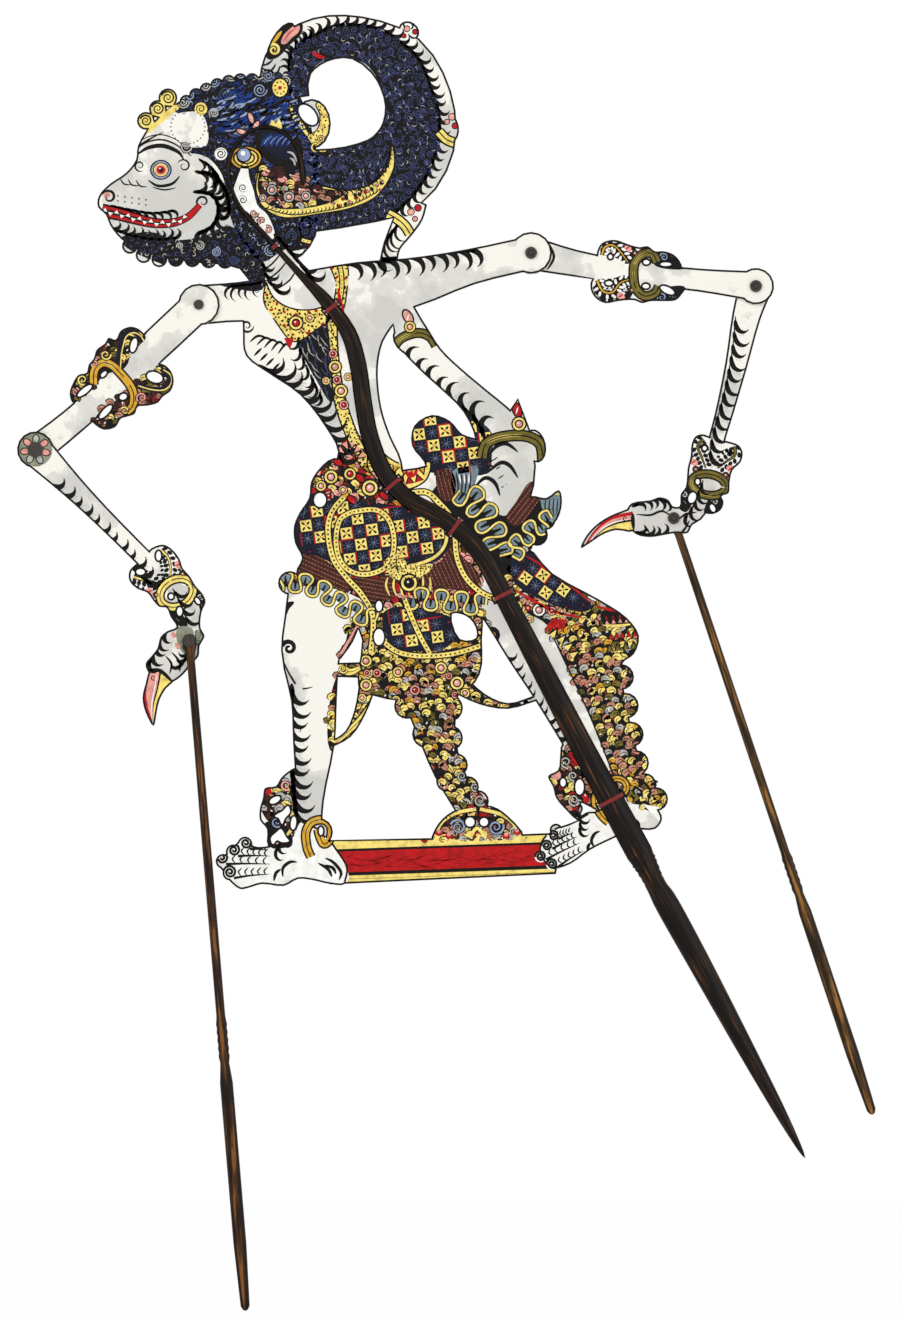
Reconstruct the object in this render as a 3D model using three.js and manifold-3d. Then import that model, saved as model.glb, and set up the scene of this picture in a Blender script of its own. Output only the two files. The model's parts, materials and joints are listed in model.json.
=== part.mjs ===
import * as THREE from "three";
import { mergeVertices } from "three/addons/utils/BufferGeometryUtils.js";
import Module from "manifold-3d";

// A flat hide shadow puppet: one cut plate for the figure, two jointed arms, a split horn main rod
// and two hand rods. Millimetres, +Z up, the painted front faces -Y, the origin is the planting
// point of the main rod.

// Driving sizes in millimetres
const FIGURE_HEIGHT = 521;
const PLATE_THICKNESS = 2;
const ARM_THICKNESS = 1.6;
const LAYER_GAP = 0.3;
const FRONT_UPPER_ARM = 130.8;
const BACK_UPPER_ARM = 136.3;
const FRONT_FORE_REACH = 147.1;
const BACK_FORE_REACH = 147.5;
const SHOULDER_RADIUS = 12.6;
const ELBOW_RADIUS = 11;
const PIN_RADIUS = 1.5;
const PIN_CLEARANCE = 0.3;
const SHOULDER_PIN_HEAD = 3;
const ELBOW_PIN_HEAD = 4.6;
const HAND_PIN_HEAD = 3.6;
const PIN_HEAD_THICKNESS = 1.1;
const COLLAR_RADIUS = 3.6;
const ROD_WALL = 1.1;
const ROD_HANDLE_DEPTH = 9.4;
const TIE_THREAD = 0.45;
const TIE_WIDTH = 2.6;
const FRONT_ROD_LENGTH = 402;
const BACK_ROD_LENGTH = 378;
const HAND_ROD_RADIUS = 2.7;
const HAND_ROD_GRIP_RADIUS = 3.9;
const HAND_ROD_EYE_RADIUS = 4.3;

// Lie of the hand rods at rest, in degrees above the +X direction
const FRONT_ROD_ANGLE = -85.2;
const BACK_ROD_ANGLE = -71.5;

// The outlines are drawn on a pattern sheet of 900 by 1321 squares, x to the right and y down
const SHEET_FIGURE_HEIGHT = 869;
const SHEET_ORIGIN = [805, 1158];
const SQUARE = FIGURE_HEIGHT / SHEET_FIGURE_HEIGHT;
const FRONT_SHOULDER = [199, 305];
const FRONT_ELBOW = [36, 450];
const FRONT_HAND = [190, 641];
const BACK_SHOULDER = [531, 253];
const BACK_ELBOW = [756, 286];
const BACK_HAND = [674, 518];

// Fineness of the facets
const SPAN_STEPS = 3;
const ROUND_STEPS = 16;
const ROD_SPAN_STEPS = 2;
const MAIN_ROD_SIDES = 12;
const HAND_ROD_SIDES = 8;
const SLIVER = 0.01;

const wasm = await Module();
wasm.setup();

const onSheet = ([x, y]) => new THREE.Vector2((x - SHEET_ORIGIN[0]) * SQUARE, (SHEET_ORIGIN[1] - y) * SQUARE);
const inMillimetres = ([u, v]) => new THREE.Vector2(u, v);
const unitOf = (place) => (place === inMillimetres ? 1 : SQUARE);
const heading = (from, to) => onSheet(to).sub(onSheet(from)).angle();

// Takes the sheet into the frame of an arm piece: its pivot at the origin, the next pivot along +X
function onArm(from, to, length) {
  const start = onSheet(from);
  const stretch = length / onSheet(to).distanceTo(start);
  const turn = heading(from, to);
  return (point) => {
    const local = onSheet(point).sub(start).rotateAround(new THREE.Vector2(), -turn);
    return new THREE.Vector2(local.x * stretch, local.y);
  };
}

// Outline helpers: each gives a closed ring of Vector2 in millimetres
function smooth(points, closed) {
  const path = points.map((p) => new THREE.Vector3(p.x, p.y, 0));
  const curve = new THREE.CatmullRomCurve3(path, closed, "centripetal");
  const spans = closed ? points.length : points.length - 1;
  const found = curve.getPoints(spans * SPAN_STEPS).map((p) => new THREE.Vector2(p.x, p.y));
  return closed ? found.slice(0, -1) : found;
}

const blob = (points, place = onSheet) => smooth(points.map(place), true);
const polygon = (points, place = onSheet) => points.map(place);

function oval([x, y, rx, ry = rx, tilt = 0], place = onSheet) {
  const turn = THREE.MathUtils.degToRad(tilt);
  return Array.from({ length: ROUND_STEPS }, (_, i) => {
    const angle = (i / ROUND_STEPS) * 2 * Math.PI;
    const point = new THREE.Vector2(rx * Math.cos(angle), ry * Math.sin(angle));
    point.rotateAround(new THREE.Vector2(), turn);
    return place([x + point.x, y + point.y]);
  });
}

// A band that follows a spine, each spine point being x, y and half width
function ribbon(spine, place = onSheet) {
  const unit = unitOf(place);
  const path = spine.map(([x, y, half]) => {
    const p = place([x, y]);
    return new THREE.Vector3(p.x, p.y, half * unit);
  });
  const steps = (spine.length - 1) * SPAN_STEPS;
  const line = new THREE.CatmullRomCurve3(path, false, "centripetal").getPoints(steps);
  const left = [];
  const right = [];
  line.forEach((point, i) => {
    const before = line[Math.max(i - 1, 0)];
    const after = line[Math.min(i + 1, line.length - 1)];
    const along = new THREE.Vector2(after.x - before.x, after.y - before.y).normalize();
    left.push(new THREE.Vector2(point.x - along.y * point.z, point.y + along.x * point.z));
    right.push(new THREE.Vector2(point.x + along.y * point.z, point.y - along.x * point.z));
  });
  return [...left, ...right.reverse()];
}

// Round lobes set at even steps along a path, as on a scalloped edge
function lobes(path, count, radius, place = onSheet) {
  const unit = unitOf(place);
  const points = path.map(place).map((p) => new THREE.Vector3(p.x, p.y, 0));
  const curve = new THREE.CatmullRomCurve3(points, false, "centripetal");
  return Array.from({ length: count }, (_, i) => {
    const centre = curve.getPointAt(count === 1 ? 0 : i / (count - 1));
    return oval([centre.x, centre.y, radius * unit], inMillimetres);
  });
}

// Solids
function toSolid(geometry) {
  const bare = geometry.clone();
  bare.deleteAttribute("normal");
  bare.deleteAttribute("uv");
  const merged = mergeVertices(bare, 1e-5);
  return new wasm.Manifold(new wasm.Mesh({
    numProp: 3,
    vertProperties: new Float32Array(merged.attributes.position.array),
    triVerts: new Uint32Array(merged.index.array),
  }));
}

function toGeometry(solid) {
  const mesh = solid.simplify(SLIVER).getMesh();
  const geometry = new THREE.BufferGeometry();
  geometry.setAttribute("position", new THREE.BufferAttribute(new Float32Array(mesh.vertProperties), 3));
  geometry.setIndex(new THREE.BufferAttribute(new Uint32Array(mesh.triVerts), 1));
  geometry.computeVertexNormals();
  return geometry;
}

// An outline in the X-Z plane, made solid between two Y values
function slab(outline, yFront, yBack) {
  const shape = new THREE.Shape(outline);
  const geometry = new THREE.ExtrudeGeometry(shape, { depth: yBack - yFront, bevelEnabled: false });
  geometry.rotateX(Math.PI / 2);
  geometry.translate(0, yBack, 0);
  return toSolid(geometry);
}

function cutPlate(outlines, holes, yFront, yBack) {
  const reach = 1;
  let plate = slab(outlines[0], yFront, yBack);
  for (const outline of outlines.slice(1)) plate = plate.add(slab(outline, yFront, yBack));
  for (const hole of holes) plate = plate.subtract(slab(hole, yFront - reach, yBack + reach));
  return plate;
}

function disc(centre, radius, yFront, yBack) {
  return slab(oval([centre.x, centre.y, radius], inMillimetres), yFront, yBack);
}

// Sections between the stations of a rod: place, half width, half depth and direction
function sections(stations, stepsPerSpan) {
  const leastHalf = 0.2;
  const path = stations.map((s) => new THREE.Vector3(s.x, s.z, s.width / 2));
  const deep = stations.map((s, i) => new THREE.Vector3(i, s.depth / 2, 0));
  const steps = (stations.length - 1) * stepsPerSpan;
  const line = new THREE.CatmullRomCurve3(path, false, "centripetal").getPoints(steps);
  const depths = new THREE.CatmullRomCurve3(deep, false, "centripetal").getPoints(steps);
  return line.map((point, i) => {
    const before = line[Math.max(i - 1, 0)];
    const after = line[Math.min(i + 1, steps)];
    const along = new THREE.Vector2(after.x - before.x, after.y - before.y).normalize();
    return { x: point.x, z: point.y, across: Math.max(point.z, leastHalf),
      through: Math.max(depths[i].y, leastHalf), along };
  });
}

// A closed body with oval sections along a path in the X-Z plane, pointed at both ends
function loft(stations, sides, y = 0) {
  const rings = sections(stations, ROD_SPAN_STEPS);
  const steps = rings.length - 1;
  const positions = [rings[0].x, y, rings[0].z];
  for (const { x, z, across, through, along } of rings.slice(1, -1)) {
    for (let k = 0; k < sides; k += 1) {
      const angle = (k / sides) * 2 * Math.PI;
      const out = across * Math.cos(angle);
      positions.push(x - along.y * out, y + through * Math.sin(angle), z + along.x * out);
    }
  }
  positions.push(rings[steps].x, y, rings[steps].z);
  const index = [];
  const ring = (i, k) => 1 + (i - 1) * sides + (k % sides);
  const last = positions.length / 3 - 1;
  for (let k = 0; k < sides; k += 1) {
    index.push(0, ring(1, k), ring(1, k + 1));
    index.push(last, ring(steps - 1, k + 1), ring(steps - 1, k));
    for (let i = 1; i < steps - 1; i += 1) {
      index.push(ring(i, k), ring(i + 1, k), ring(i, k + 1));
      index.push(ring(i, k + 1), ring(i + 1, k), ring(i + 1, k + 1));
    }
  }
  const geometry = new THREE.BufferGeometry();
  geometry.setAttribute("position", new THREE.Float32BufferAttribute(positions, 3));
  geometry.setIndex(index);
  return toSolid(geometry);
}

// Materials
const rawhide = () => new THREE.MeshStandardMaterial({ color: "#e4dfd2", roughness: 0.6, metalness: 0 });
const horn = () => new THREE.MeshStandardMaterial({ color: "#2a1d14", roughness: 0.25, metalness: 0 });
const thread = () => new THREE.MeshStandardMaterial({ color: "#9c1220", roughness: 0.9, metalness: 0 });
const bone = () => new THREE.MeshStandardMaterial({ color: "#4a3524", roughness: 0.4, metalness: 0 });

function named(name, solid, material) {
  const mesh = new THREE.Mesh(toGeometry(solid), material);
  mesh.name = name;
  return mesh;
}

// Head, hair and beard
const HEAD_OUTLINES = [
  blob([[200, 92], [172, 106], [150, 126], [138, 146], [136, 160], [126, 173], [110, 184], [99, 196], [98, 207],
    [106, 215], [110, 225], [121, 239], [142, 252], [190, 262], [240, 260], [262, 200], [262, 110], [240, 84]]),
  blob([[222, 82], [262, 77], [292, 86], [306, 110], [318, 160], [316, 236], [292, 262], [215, 262], [195, 200],
    [190, 110]]),
  oval([146, 121, 9]),
  oval([158, 109, 9]),
  oval([168, 98, 9.5]),
];
const HAIR_SCALLOPS = lobes([[178, 110], [190, 99], [206, 90], [224, 83], [244, 80], [264, 81]], 9, 7);
const BEARD_SCALLOPS = lobes([[130, 246], [150, 258], [185, 259], [222, 261], [258, 259]], 9, 8);

// Hair crest, with the tail lying along its outer edge
const CREST_SPINE = [
  [300, 192, 42], [352, 186, 40], [395, 172, 42], [417, 140, 39], [418, 99, 34], [398, 60, 30], [357, 38, 22],
  [320, 40, 23], [292, 58, 25], [284, 82, 25], [286, 100, 24],
];
const WING_RING = oval([312, 124, 19, 25]);
const WING_HOLE = oval([308, 115, 7, 12, -40]);
const CREST_BOSSES = [oval([449, 128, 10, 15, -10]), oval([409, 31, 11, 9, 35]), oval([281, 45, 11, 25, 28])];
const TAIL_NECK = [[416, 200, 12], [410, 214, 14], [401, 230, 12], [392, 246, 9], [388, 264, 9]];
const TAIL = [
  [402, 306, 11], [412, 335, 17], [430, 359, 15], [450, 378, 14.5], [475, 401, 16], [497, 430, 24],
  [506, 466, 30], [498, 512, 28],
];
const TAIL_BAND = [oval([535, 446, 11, 17, -12]), oval([410, 341, 19, 14, 35])];
const TAIL_SPIKE = [[500, 424], [518, 398], [534, 440]];

// Shoulders, torso and neck
const GIRDLE = [
  [199, 305, 20], [240, 302, 20], [300, 300, 28], [360, 290, 28], [410, 283, 25], [470, 267, 18], [531, 253, 17],
];
const TORSO = [
  [250, 290], [330, 270], [404, 285], [396, 320], [383, 342], [378, 366], [379, 392], [383, 414], [391, 437],
  [402, 462], [400, 490], [330, 490], [338, 452], [326, 428], [300, 395], [268, 373], [246, 356], [243, 335],
];
const NECK = [[240, 225, 30], [272, 268, 26], [300, 305, 32]];

// Hips, bustle and frills
const HIPS = [
  [334, 458], [320, 468], [311, 482], [309, 498], [300, 512], [294, 526], [295, 543], [302, 558], [296, 574],
  [330, 600],
  [400, 612], [470, 606], [505, 590], [520, 540], [500, 480], [450, 462], [400, 470],
];
const HIP_HOLE = oval([320, 500, 6, 7]);
const BUSTLE = [[412, 446], [414, 426], [432, 415], [450, 421], [462, 434], [480, 442], [476, 490], [430, 480],
  [424, 462]];
const FRONT_FRILL = lobes([[290, 583], [314, 586], [336, 600], [356, 618]], 5, 12);
const MIDDLE_FRILL = lobes([[392, 596], [432, 603], [468, 604]], 4, 12);
const BACK_FRILL = [
  blob([[530, 496], [546, 498], [559, 490], [562, 502], [557, 520], [545, 530], [528, 552], [505, 572],
    [488, 556], [500, 520]]),
  oval([546, 518, 10, 12]),
  oval([537, 535, 11, 11]),
  oval([521, 545, 12, 9]),
];

// Legs and feet
const FRONT_LEG = [
  [322, 590, 34], [317, 622, 33], [311, 652, 30], [314, 700, 23], [314, 742, 21], [310, 800, 14], [309, 832, 14],
  [312, 852, 16],
];
const FRONT_KNEE_CURL = oval([289, 648, 8]);
const FRONT_FOOT = [
  [300, 826], [322, 832], [338, 853], [348, 868], [345, 884], [330, 884], [312, 880], [298, 879], [284, 886],
  [262, 884], [248, 888], [240, 889], [228, 879], [222, 870], [216, 862], [228, 852], [244, 838], [254, 846],
  [268, 846], [288, 838],
];
const FRONT_TOES = lobes([[245, 844], [233, 852], [223, 862], [230, 873]], 4, 7.5);
const FRONT_ANKLET = oval([319, 832, 14]);
const FRONT_ANKLE_SCROLL = [
  [296, 768], [289, 771], [281, 778], [276, 786], [265, 788], [263, 798], [260, 808], [260, 820], [267, 829],
  [268, 846], [286, 850], [300, 840],
];
const FRONT_ANKLE_HOLES = [
  oval([275, 800, 5.6, 2.8, -28]),
  blob([[275, 816], [283, 811], [288, 806], [290, 812], [285, 818], [282, 824], [279, 818]]),
  blob([[271, 838], [277, 832], [281, 829], [286, 837], [289, 841], [282, 842], [277, 840], [273, 844]]),
  oval([293.5, 823, 2.6, 6.5, 6]),
  oval([321, 831, 2, 4]),
];
const BACK_LEG = [
  [488, 580, 27], [508, 612, 25], [528, 650, 22], [551, 690, 19], [578, 740, 16], [597, 775, 16], [616, 808, 16],
];
const BACK_FOOT = [
  [600, 806], [624, 790], [640, 800], [657, 808], [662, 819], [655, 829], [634, 830], [612, 839], [590, 850],
  [570, 864], [552, 868], [540, 850], [550, 832], [578, 820],
];
const BACK_TOES = lobes([[556, 830], [547, 840], [543, 851], [550, 862]], 4, 6.5);
const BACK_ANKLET = oval([620, 784, 15]);
const BACK_ANKLE_SCROLL = [
  [574, 742], [562, 744], [560, 757], [558, 770], [548, 776], [553, 787], [556, 798], [568, 812], [574, 818],
  [582, 822], [602, 812], [606, 780], [590, 750],
];
const BACK_ANKLE_HOLES = [
  oval([563, 782.5, 2.6, 4]),
  oval([579.5, 787, 4.2, 7.5]),
  blob([[581, 803], [588, 806], [596, 811], [587, 812], [581, 815], [583, 808]]),
];

// Strip between the feet, with its small ornament
const BASE_STRIP = [[330, 840], [430, 838], [548, 833], [562, 838], [556, 874], [330, 884.5]];
const BASE_ORNAMENT = [[432, 842], [438, 824], [453, 811], [472, 806], [492, 806], [508, 816], [524, 838]];
const BASE_ORNAMENT_HOLES = [oval([470, 822, 4.5]), oval([484, 822, 4])];

// Hanging cloths
const FRONT_CLOTH = [
  [352, 606], [478, 600], [482, 640], [480, 674], [462, 694], [420, 702], [374, 696], [358, 686], [362, 640],
];
const FRONT_CLOTH_FALL = [[430, 690, 30], [436, 730, 20], [448, 770, 15], [472, 812, 14]];
const FRONT_CLOTH_LOBES = [
  [407, 706, 13], [449, 708, 14], [426, 734, 14], [450, 738, 13], [440, 758, 13], [456, 765, 12], [447, 781, 11],
  [468, 787, 11], [478, 801, 11],
].map((lobe) => oval(lobe));
const TASSELS = [
  ribbon([[368, 684, 9], [360, 712, 6], [348, 734, 4], [328, 746, 3]]),
  ribbon([[456, 682, 11], [482, 699, 6], [508, 706, 3], [536, 698, 3]]),
  ribbon([[334, 670, 7], [364, 670, 8]]),
  ribbon([[356, 622, 5], [346, 640, 7], [338, 658, 3]]),
];
const CLOTH_HOLES = [
  oval([379, 606, 3, 5]),
  oval([379, 637, 5, 8]),
  blob([[452, 614], [466, 616], [475, 626], [476, 638], [460, 639]]),
];
const BACK_CLOTH = [
  [505, 560], [526, 547], [552, 573], [600, 600], [627, 618], [639, 636], [634, 654], [622, 664], [626, 700],
  [632, 730], [642, 770], [646, 800], [612, 790], [592, 750], [566, 704], [528, 625], [512, 600],
];
const BACK_CLOTH_LOBES = [
  ...lobes([[621, 677], [626, 707], [631, 736], [636, 763]], 4, 13), oval([645, 784, 11]), oval([656, 799, 12]),
  oval([637, 793, 12]),
];

// Main rod: a hook behind the ear, an S bend down the body and a round handle.
// Each station is x and y on the sheet, with the width and depth of the section in millimetres.
const SLIT = PLATE_THICKNESS + 2 * LAYER_GAP;
const LEAF_DEPTH = SLIT + 2 * ROD_WALL;
const ROD_STATIONS = [
  [303, 186, 1, 1], [303, 178, 4, LEAF_DEPTH], [299, 152, 2.4, LEAF_DEPTH], [285, 134, 2.4, LEAF_DEPTH],
  [265, 127, 2.4, LEAF_DEPTH], [244, 136, 2.4, LEAF_DEPTH], [231, 155, 2.4, LEAF_DEPTH],
  [229, 178, 2.4, LEAF_DEPTH], [239, 206, 2.6, LEAF_DEPTH], [262, 232, 3, LEAF_DEPTH],
  [298, 272, 4.2, LEAF_DEPTH], [325, 300, 8, LEAF_DEPTH], [348, 332, 9.6, LEAF_DEPTH],
  [358, 365, 10.2, LEAF_DEPTH], [363, 400, 10.4, LEAF_DEPTH], [370, 437, 10.5, LEAF_DEPTH],
  [385, 474, 10.5, LEAF_DEPTH], [408, 499, 10.6, LEAF_DEPTH + 0.3], [440, 517, 10.8, LEAF_DEPTH + 0.6],
  [468, 538, 11, LEAF_DEPTH + 0.9], [487, 564, 11.2, LEAF_DEPTH + 1.2], [506, 600, 11.6, LEAF_DEPTH + 1.6],
  [532, 650, 12.6, LEAF_DEPTH + 2.2], [560, 704, 13.4, LEAF_DEPTH + 2.9], [588, 758, 14.4, LEAF_DEPTH + 3.6],
  [614, 806, 15.4, LEAF_DEPTH + 4.2], [640, 854, 16, ROD_HANDLE_DEPTH], [652, 877, 13, 8.8],
  [657, 887, 12.4, 8.6], [668, 906, 14.6, ROD_HANDLE_DEPTH], [700, 964, 13.6, 9.2], [740, 1038, 11, 8.2],
  [778, 1108, 7.4, 6], [799, 1147, 3.4, 3.2], [805, 1158, 0.4, 0.4],
];
const SPLIT_END = [641, 856];
const SPLIT_STATION = 25;
const TIES = [[277, 247], [339, 304], [391, 486], [455, 525], [502, 597], [612, 800]];

function rodStations() {
  return ROD_STATIONS.map(([x, y, width, depth]) => {
    const p = onSheet([x, y]);
    return { x: p.x, z: p.y, width, depth };
  });
}

function rodSlit() {
  const end = onSheet(SPLIT_END);
  const above = onSheet(ROD_STATIONS[SPLIT_STATION]);
  const along = above.clone().sub(end).normalize();
  const side = new THREE.Vector2(-along.y, along.x).multiplyScalar(FIGURE_HEIGHT);
  const far = along.clone().multiplyScalar(2 * FIGURE_HEIGHT).add(end);
  const corners = [
    end.clone().sub(side), far.clone().sub(side), far.clone().add(side), end.clone().add(side),
  ];
  return slab(corners, -SLIT / 2, SLIT / 2);
}

function mainRod() {
  return named("main_rod", loft(rodStations(), MAIN_ROD_SIDES).subtract(rodSlit()), horn());
}

// A band of red thread round both leaves of the rod, at a place on the sheet
function tieRing(place, inner, outer, width) {
  const wanted = onSheet(place);
  const apart = ({ x, z }) => Math.hypot(x - wanted.x, z - wanted.y);
  const here = sections(rodStations(), 4 * ROD_SPAN_STEPS).reduce((a, b) => (apart(b) < apart(a) ? b : a));
  const { along } = here;
  const radii = (grow) => [here.across + grow, here.through + grow];
  const ring = (grow) => oval([0, 0, ...radii(grow)], inMillimetres);
  const shape = new THREE.Shape(ring(outer));
  shape.holes.push(new THREE.Path(ring(inner)));
  const geometry = new THREE.ExtrudeGeometry(shape, { depth: width, bevelEnabled: false });
  geometry.translate(0, 0, -width / 2);
  const across = new THREE.Vector3(-along.y, 0, along.x);
  const through = new THREE.Vector3(0, 1, 0);
  const axis = new THREE.Vector3().crossVectors(across, through);
  geometry.applyMatrix4(new THREE.Matrix4().makeBasis(across, through, axis).setPosition(here.x, 0, here.z));
  return toSolid(geometry);
}

const TIE_INNER = LAYER_GAP;
const TIE_OUTER = TIE_INNER + TIE_THREAD;

function ties() {
  return TIES.map((place, i) =>
    named(`rod_tie_${i + 1}`, tieRing(place, TIE_INNER, TIE_OUTER, TIE_WIDTH), thread()));
}

function tieHoles() {
  const slot = TIE_WIDTH + 2 * LAYER_GAP;
  return TIES.map((place) =>
    tieRing(place, TIE_INNER - LAYER_GAP, TIE_OUTER + LAYER_GAP, slot));
}

function bodyPlate() {
  const half = PLATE_THICKNESS / 2;
  const outlines = [
    blob(TORSO), ribbon(GIRDLE), ribbon(NECK), ...HEAD_OUTLINES, ...HAIR_SCALLOPS, ...BEARD_SCALLOPS,
    ribbon(CREST_SPINE), ...CREST_BOSSES, WING_RING,
    ribbon(TAIL_NECK), ribbon(TAIL), ...TAIL_BAND, polygon(TAIL_SPIKE),
    oval([...FRONT_SHOULDER, SHOULDER_RADIUS / SQUARE]), oval([...BACK_SHOULDER, SHOULDER_RADIUS / SQUARE]),
    blob(HIPS), blob(BUSTLE), ...FRONT_FRILL, ...MIDDLE_FRILL, ...BACK_FRILL,
    ribbon(FRONT_LEG), FRONT_KNEE_CURL, blob(FRONT_FOOT), ...FRONT_TOES, FRONT_ANKLET, blob(FRONT_ANKLE_SCROLL),
    ribbon(BACK_LEG), blob(BACK_FOOT), ...BACK_TOES, BACK_ANKLET, blob(BACK_ANKLE_SCROLL),
    polygon(BASE_STRIP), blob(BASE_ORNAMENT),
    blob(FRONT_CLOTH), ribbon(FRONT_CLOTH_FALL), ...FRONT_CLOTH_LOBES, ...TASSELS,
    blob(BACK_CLOTH), ...BACK_CLOTH_LOBES,
  ];
  const shoulderHole = (PIN_RADIUS + PIN_CLEARANCE) / SQUARE;
  const holes = [
    WING_HOLE, HIP_HOLE, ...FRONT_ANKLE_HOLES, ...BACK_ANKLE_HOLES, ...BASE_ORNAMENT_HOLES, ...CLOTH_HOLES,
    oval([...FRONT_SHOULDER, shoulderHole]), oval([...BACK_SHOULDER, shoulderHole]),
  ];
  let plate = cutPlate(outlines, holes, -half, half);
  for (const hole of tieHoles()) plate = plate.subtract(hole);
  return named("body_plate", plate, rawhide());
}

// Arm layers, counted outward from the body plate; side is -1 in front of it and +1 behind it
const LAYER_STEP = ARM_THICKNESS + LAYER_GAP;
const layerInner = (side, layer) => side * (PLATE_THICKNESS / 2 + LAYER_GAP + layer * LAYER_STEP);

function span(side, start, thickness) {
  const end = start + side * thickness;
  return [Math.min(start, end), Math.max(start, end)];
}

// Each upper arm is a bar with a scrolled armlet cut in one with it
const FRONT_UPPER_BAR = [[199, 305, 17], [151, 350, 16.7], [83, 413, 13.7], [50, 440, 14.5], [36, 450, 15]];
const FRONT_ARMLET = [
  [[146, 338], [140, 330], [131, 327], [121, 331], [116, 340], [109, 338], [105, 344], [97, 350], [94, 359],
    [89, 365], [87, 373], [79, 375], [73, 384], [70, 394], [74, 404], [100, 400], [135, 365]],
  [[162, 364], [171, 371], [174, 381], [171, 391], [163, 397], [158, 403], [147, 406], [138, 407], [135, 414],
    [127, 417], [121, 419], [116, 427], [105, 430], [98, 427], [92, 420], [110, 395], [140, 368]],
];
const FRONT_ARMLET_HOLES = [
  [134, 345.5, 3, 7, 14], [85, 391, 8.6, 2.6, -38], [104, 374.5, 3.6, 1.8, -45], [155, 377.5, 8, 5, 18],
  [123.5, 397, 3.6, 2.8, -20], [106, 412, 8.4, 2.8, -47],
];
const BACK_UPPER_BAR = [[531, 253, 17], [575, 263, 13.5], [640, 273.5, 11.6], [700, 280, 11.6], [756, 286, 15]];
const BACK_ARMLET = [
  [[597, 257], [598, 249], [602, 243], [610, 240], [617, 240], [623, 242], [631, 245], [640, 247], [648, 246],
    [655, 251], [664, 251], [673, 254], [680, 261], [682, 270], [640, 274], [610, 268]],
  [[592, 279], [591, 290], [597, 299], [606, 303], [618, 301], [634, 300], [642, 303], [651, 301], [665, 301],
    [676, 300], [682, 294], [686, 286], [640, 276], [610, 272]],
];
const BACK_ARMLET_HOLES = [
  [610.5, 256.5, 1.9, 2.1], [646.5, 262, 3, 2.2], [666, 264, 5.4, 1.8], [609, 283, 3.4, 2],
  [646, 286, 3.2, 2.2], [667.5, 290, 7.4, 3, 26],
];

// Each forearm runs into a wrist ornament and a hand turned back with one long curved nail
const FRONT_FORE_BAR = [
  [36, 450, 17], [71, 485, 12.2], [100, 514, 10], [143, 557, 9.2], [175, 590, 9.5], [187, 615, 10], [190, 641, 11],
];
const FRONT_HAND_OUTLINE = [
  [150, 550], [157, 546], [165, 545], [173, 550], [180, 559], [183, 568], [190, 576], [196, 586], [203, 594],
  [206, 602], [202, 612], [201, 628], [205, 636], [200, 646], [199, 656], [192, 664], [184, 674], [175, 681],
  [163, 685], [150, 674], [146, 664], [152, 656], [158, 648], [161, 637], [168, 631], [177, 627], [171, 617],
  [167, 608], [160, 607], [154, 601], [148, 593], [138, 589], [130, 581], [130, 571], [138, 563], [146, 558],
];
const FRONT_NAIL = [
  [152, 668], [146, 684], [143, 698], [146, 712], [154, 726], [157, 713], [160, 700], [166, 689], [174, 680],
];
const FRONT_HAND_HOLES = [
  [159, 556, 2.4, 4.6], [141, 572, 4.2, 2.8], [180, 611.5, 2.6, 4.2], [198, 601, 3.4, 1.7, 55],
  [171.5, 596.5, 2.2, 2.4],
];
const BACK_FORE_BAR = [
  [756, 286, 17], [747, 315, 14.5], [736.5, 365, 11.2], [724, 415, 9], [717, 440, 8.5], [712, 470, 9],
  [705, 495, 9], [695, 512, 10], [680, 518, 10],
];
const BACK_HAND_OUTLINE = [
  [712, 437], [703, 434], [696, 436], [692, 444], [691, 456], [688, 468], [686, 487], [681, 494], [680, 506],
  [673, 506], [669, 500], [660, 497], [651, 500], [632, 503], [627, 510], [626, 522], [636, 534], [650, 537],
  [664, 535], [676, 533], [688, 533], [692, 526], [703, 514], [713, 514], [721, 510], [724, 502], [722, 496],
  [729, 493], [730, 482], [733, 470], [741, 462], [743, 452], [739, 445], [728, 441],
];
const BACK_NAIL = [
  [634, 508], [622, 511], [608, 517], [595, 526], [585, 538], [581, 548], [590, 543], [602, 535], [616, 530],
  [634, 531],
];
const BACK_HAND_HOLES = [
  [705, 448, 1.9, 2.1], [698, 481.5, 1.9, 2.6], [692.5, 497.5, 3.6, 5.4, 20], [713, 508, 2.3, 3.8, -25],
];

const FRONT_ARM = {
  label: "front", side: -1, shoulder: FRONT_SHOULDER, elbow: FRONT_ELBOW, hand: FRONT_HAND,
  upperLength: FRONT_UPPER_ARM, foreLength: FRONT_FORE_REACH, rodLength: FRONT_ROD_LENGTH,
  rodAngle: FRONT_ROD_ANGLE, upperBar: FRONT_UPPER_BAR, armlet: FRONT_ARMLET, armletHoles: FRONT_ARMLET_HOLES,
  foreBar: FRONT_FORE_BAR, handOutline: FRONT_HAND_OUTLINE, nail: FRONT_NAIL, handHoles: FRONT_HAND_HOLES,
};
const BACK_ARM = {
  label: "back", side: 1, shoulder: BACK_SHOULDER, elbow: BACK_ELBOW, hand: BACK_HAND,
  upperLength: BACK_UPPER_ARM, foreLength: BACK_FORE_REACH, rodLength: BACK_ROD_LENGTH,
  rodAngle: BACK_ROD_ANGLE, upperBar: BACK_UPPER_BAR, armlet: BACK_ARMLET, armletHoles: BACK_ARMLET_HOLES,
  foreBar: BACK_FORE_BAR, handOutline: BACK_HAND_OUTLINE, nail: BACK_NAIL, handHoles: BACK_HAND_HOLES,
};

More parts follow.
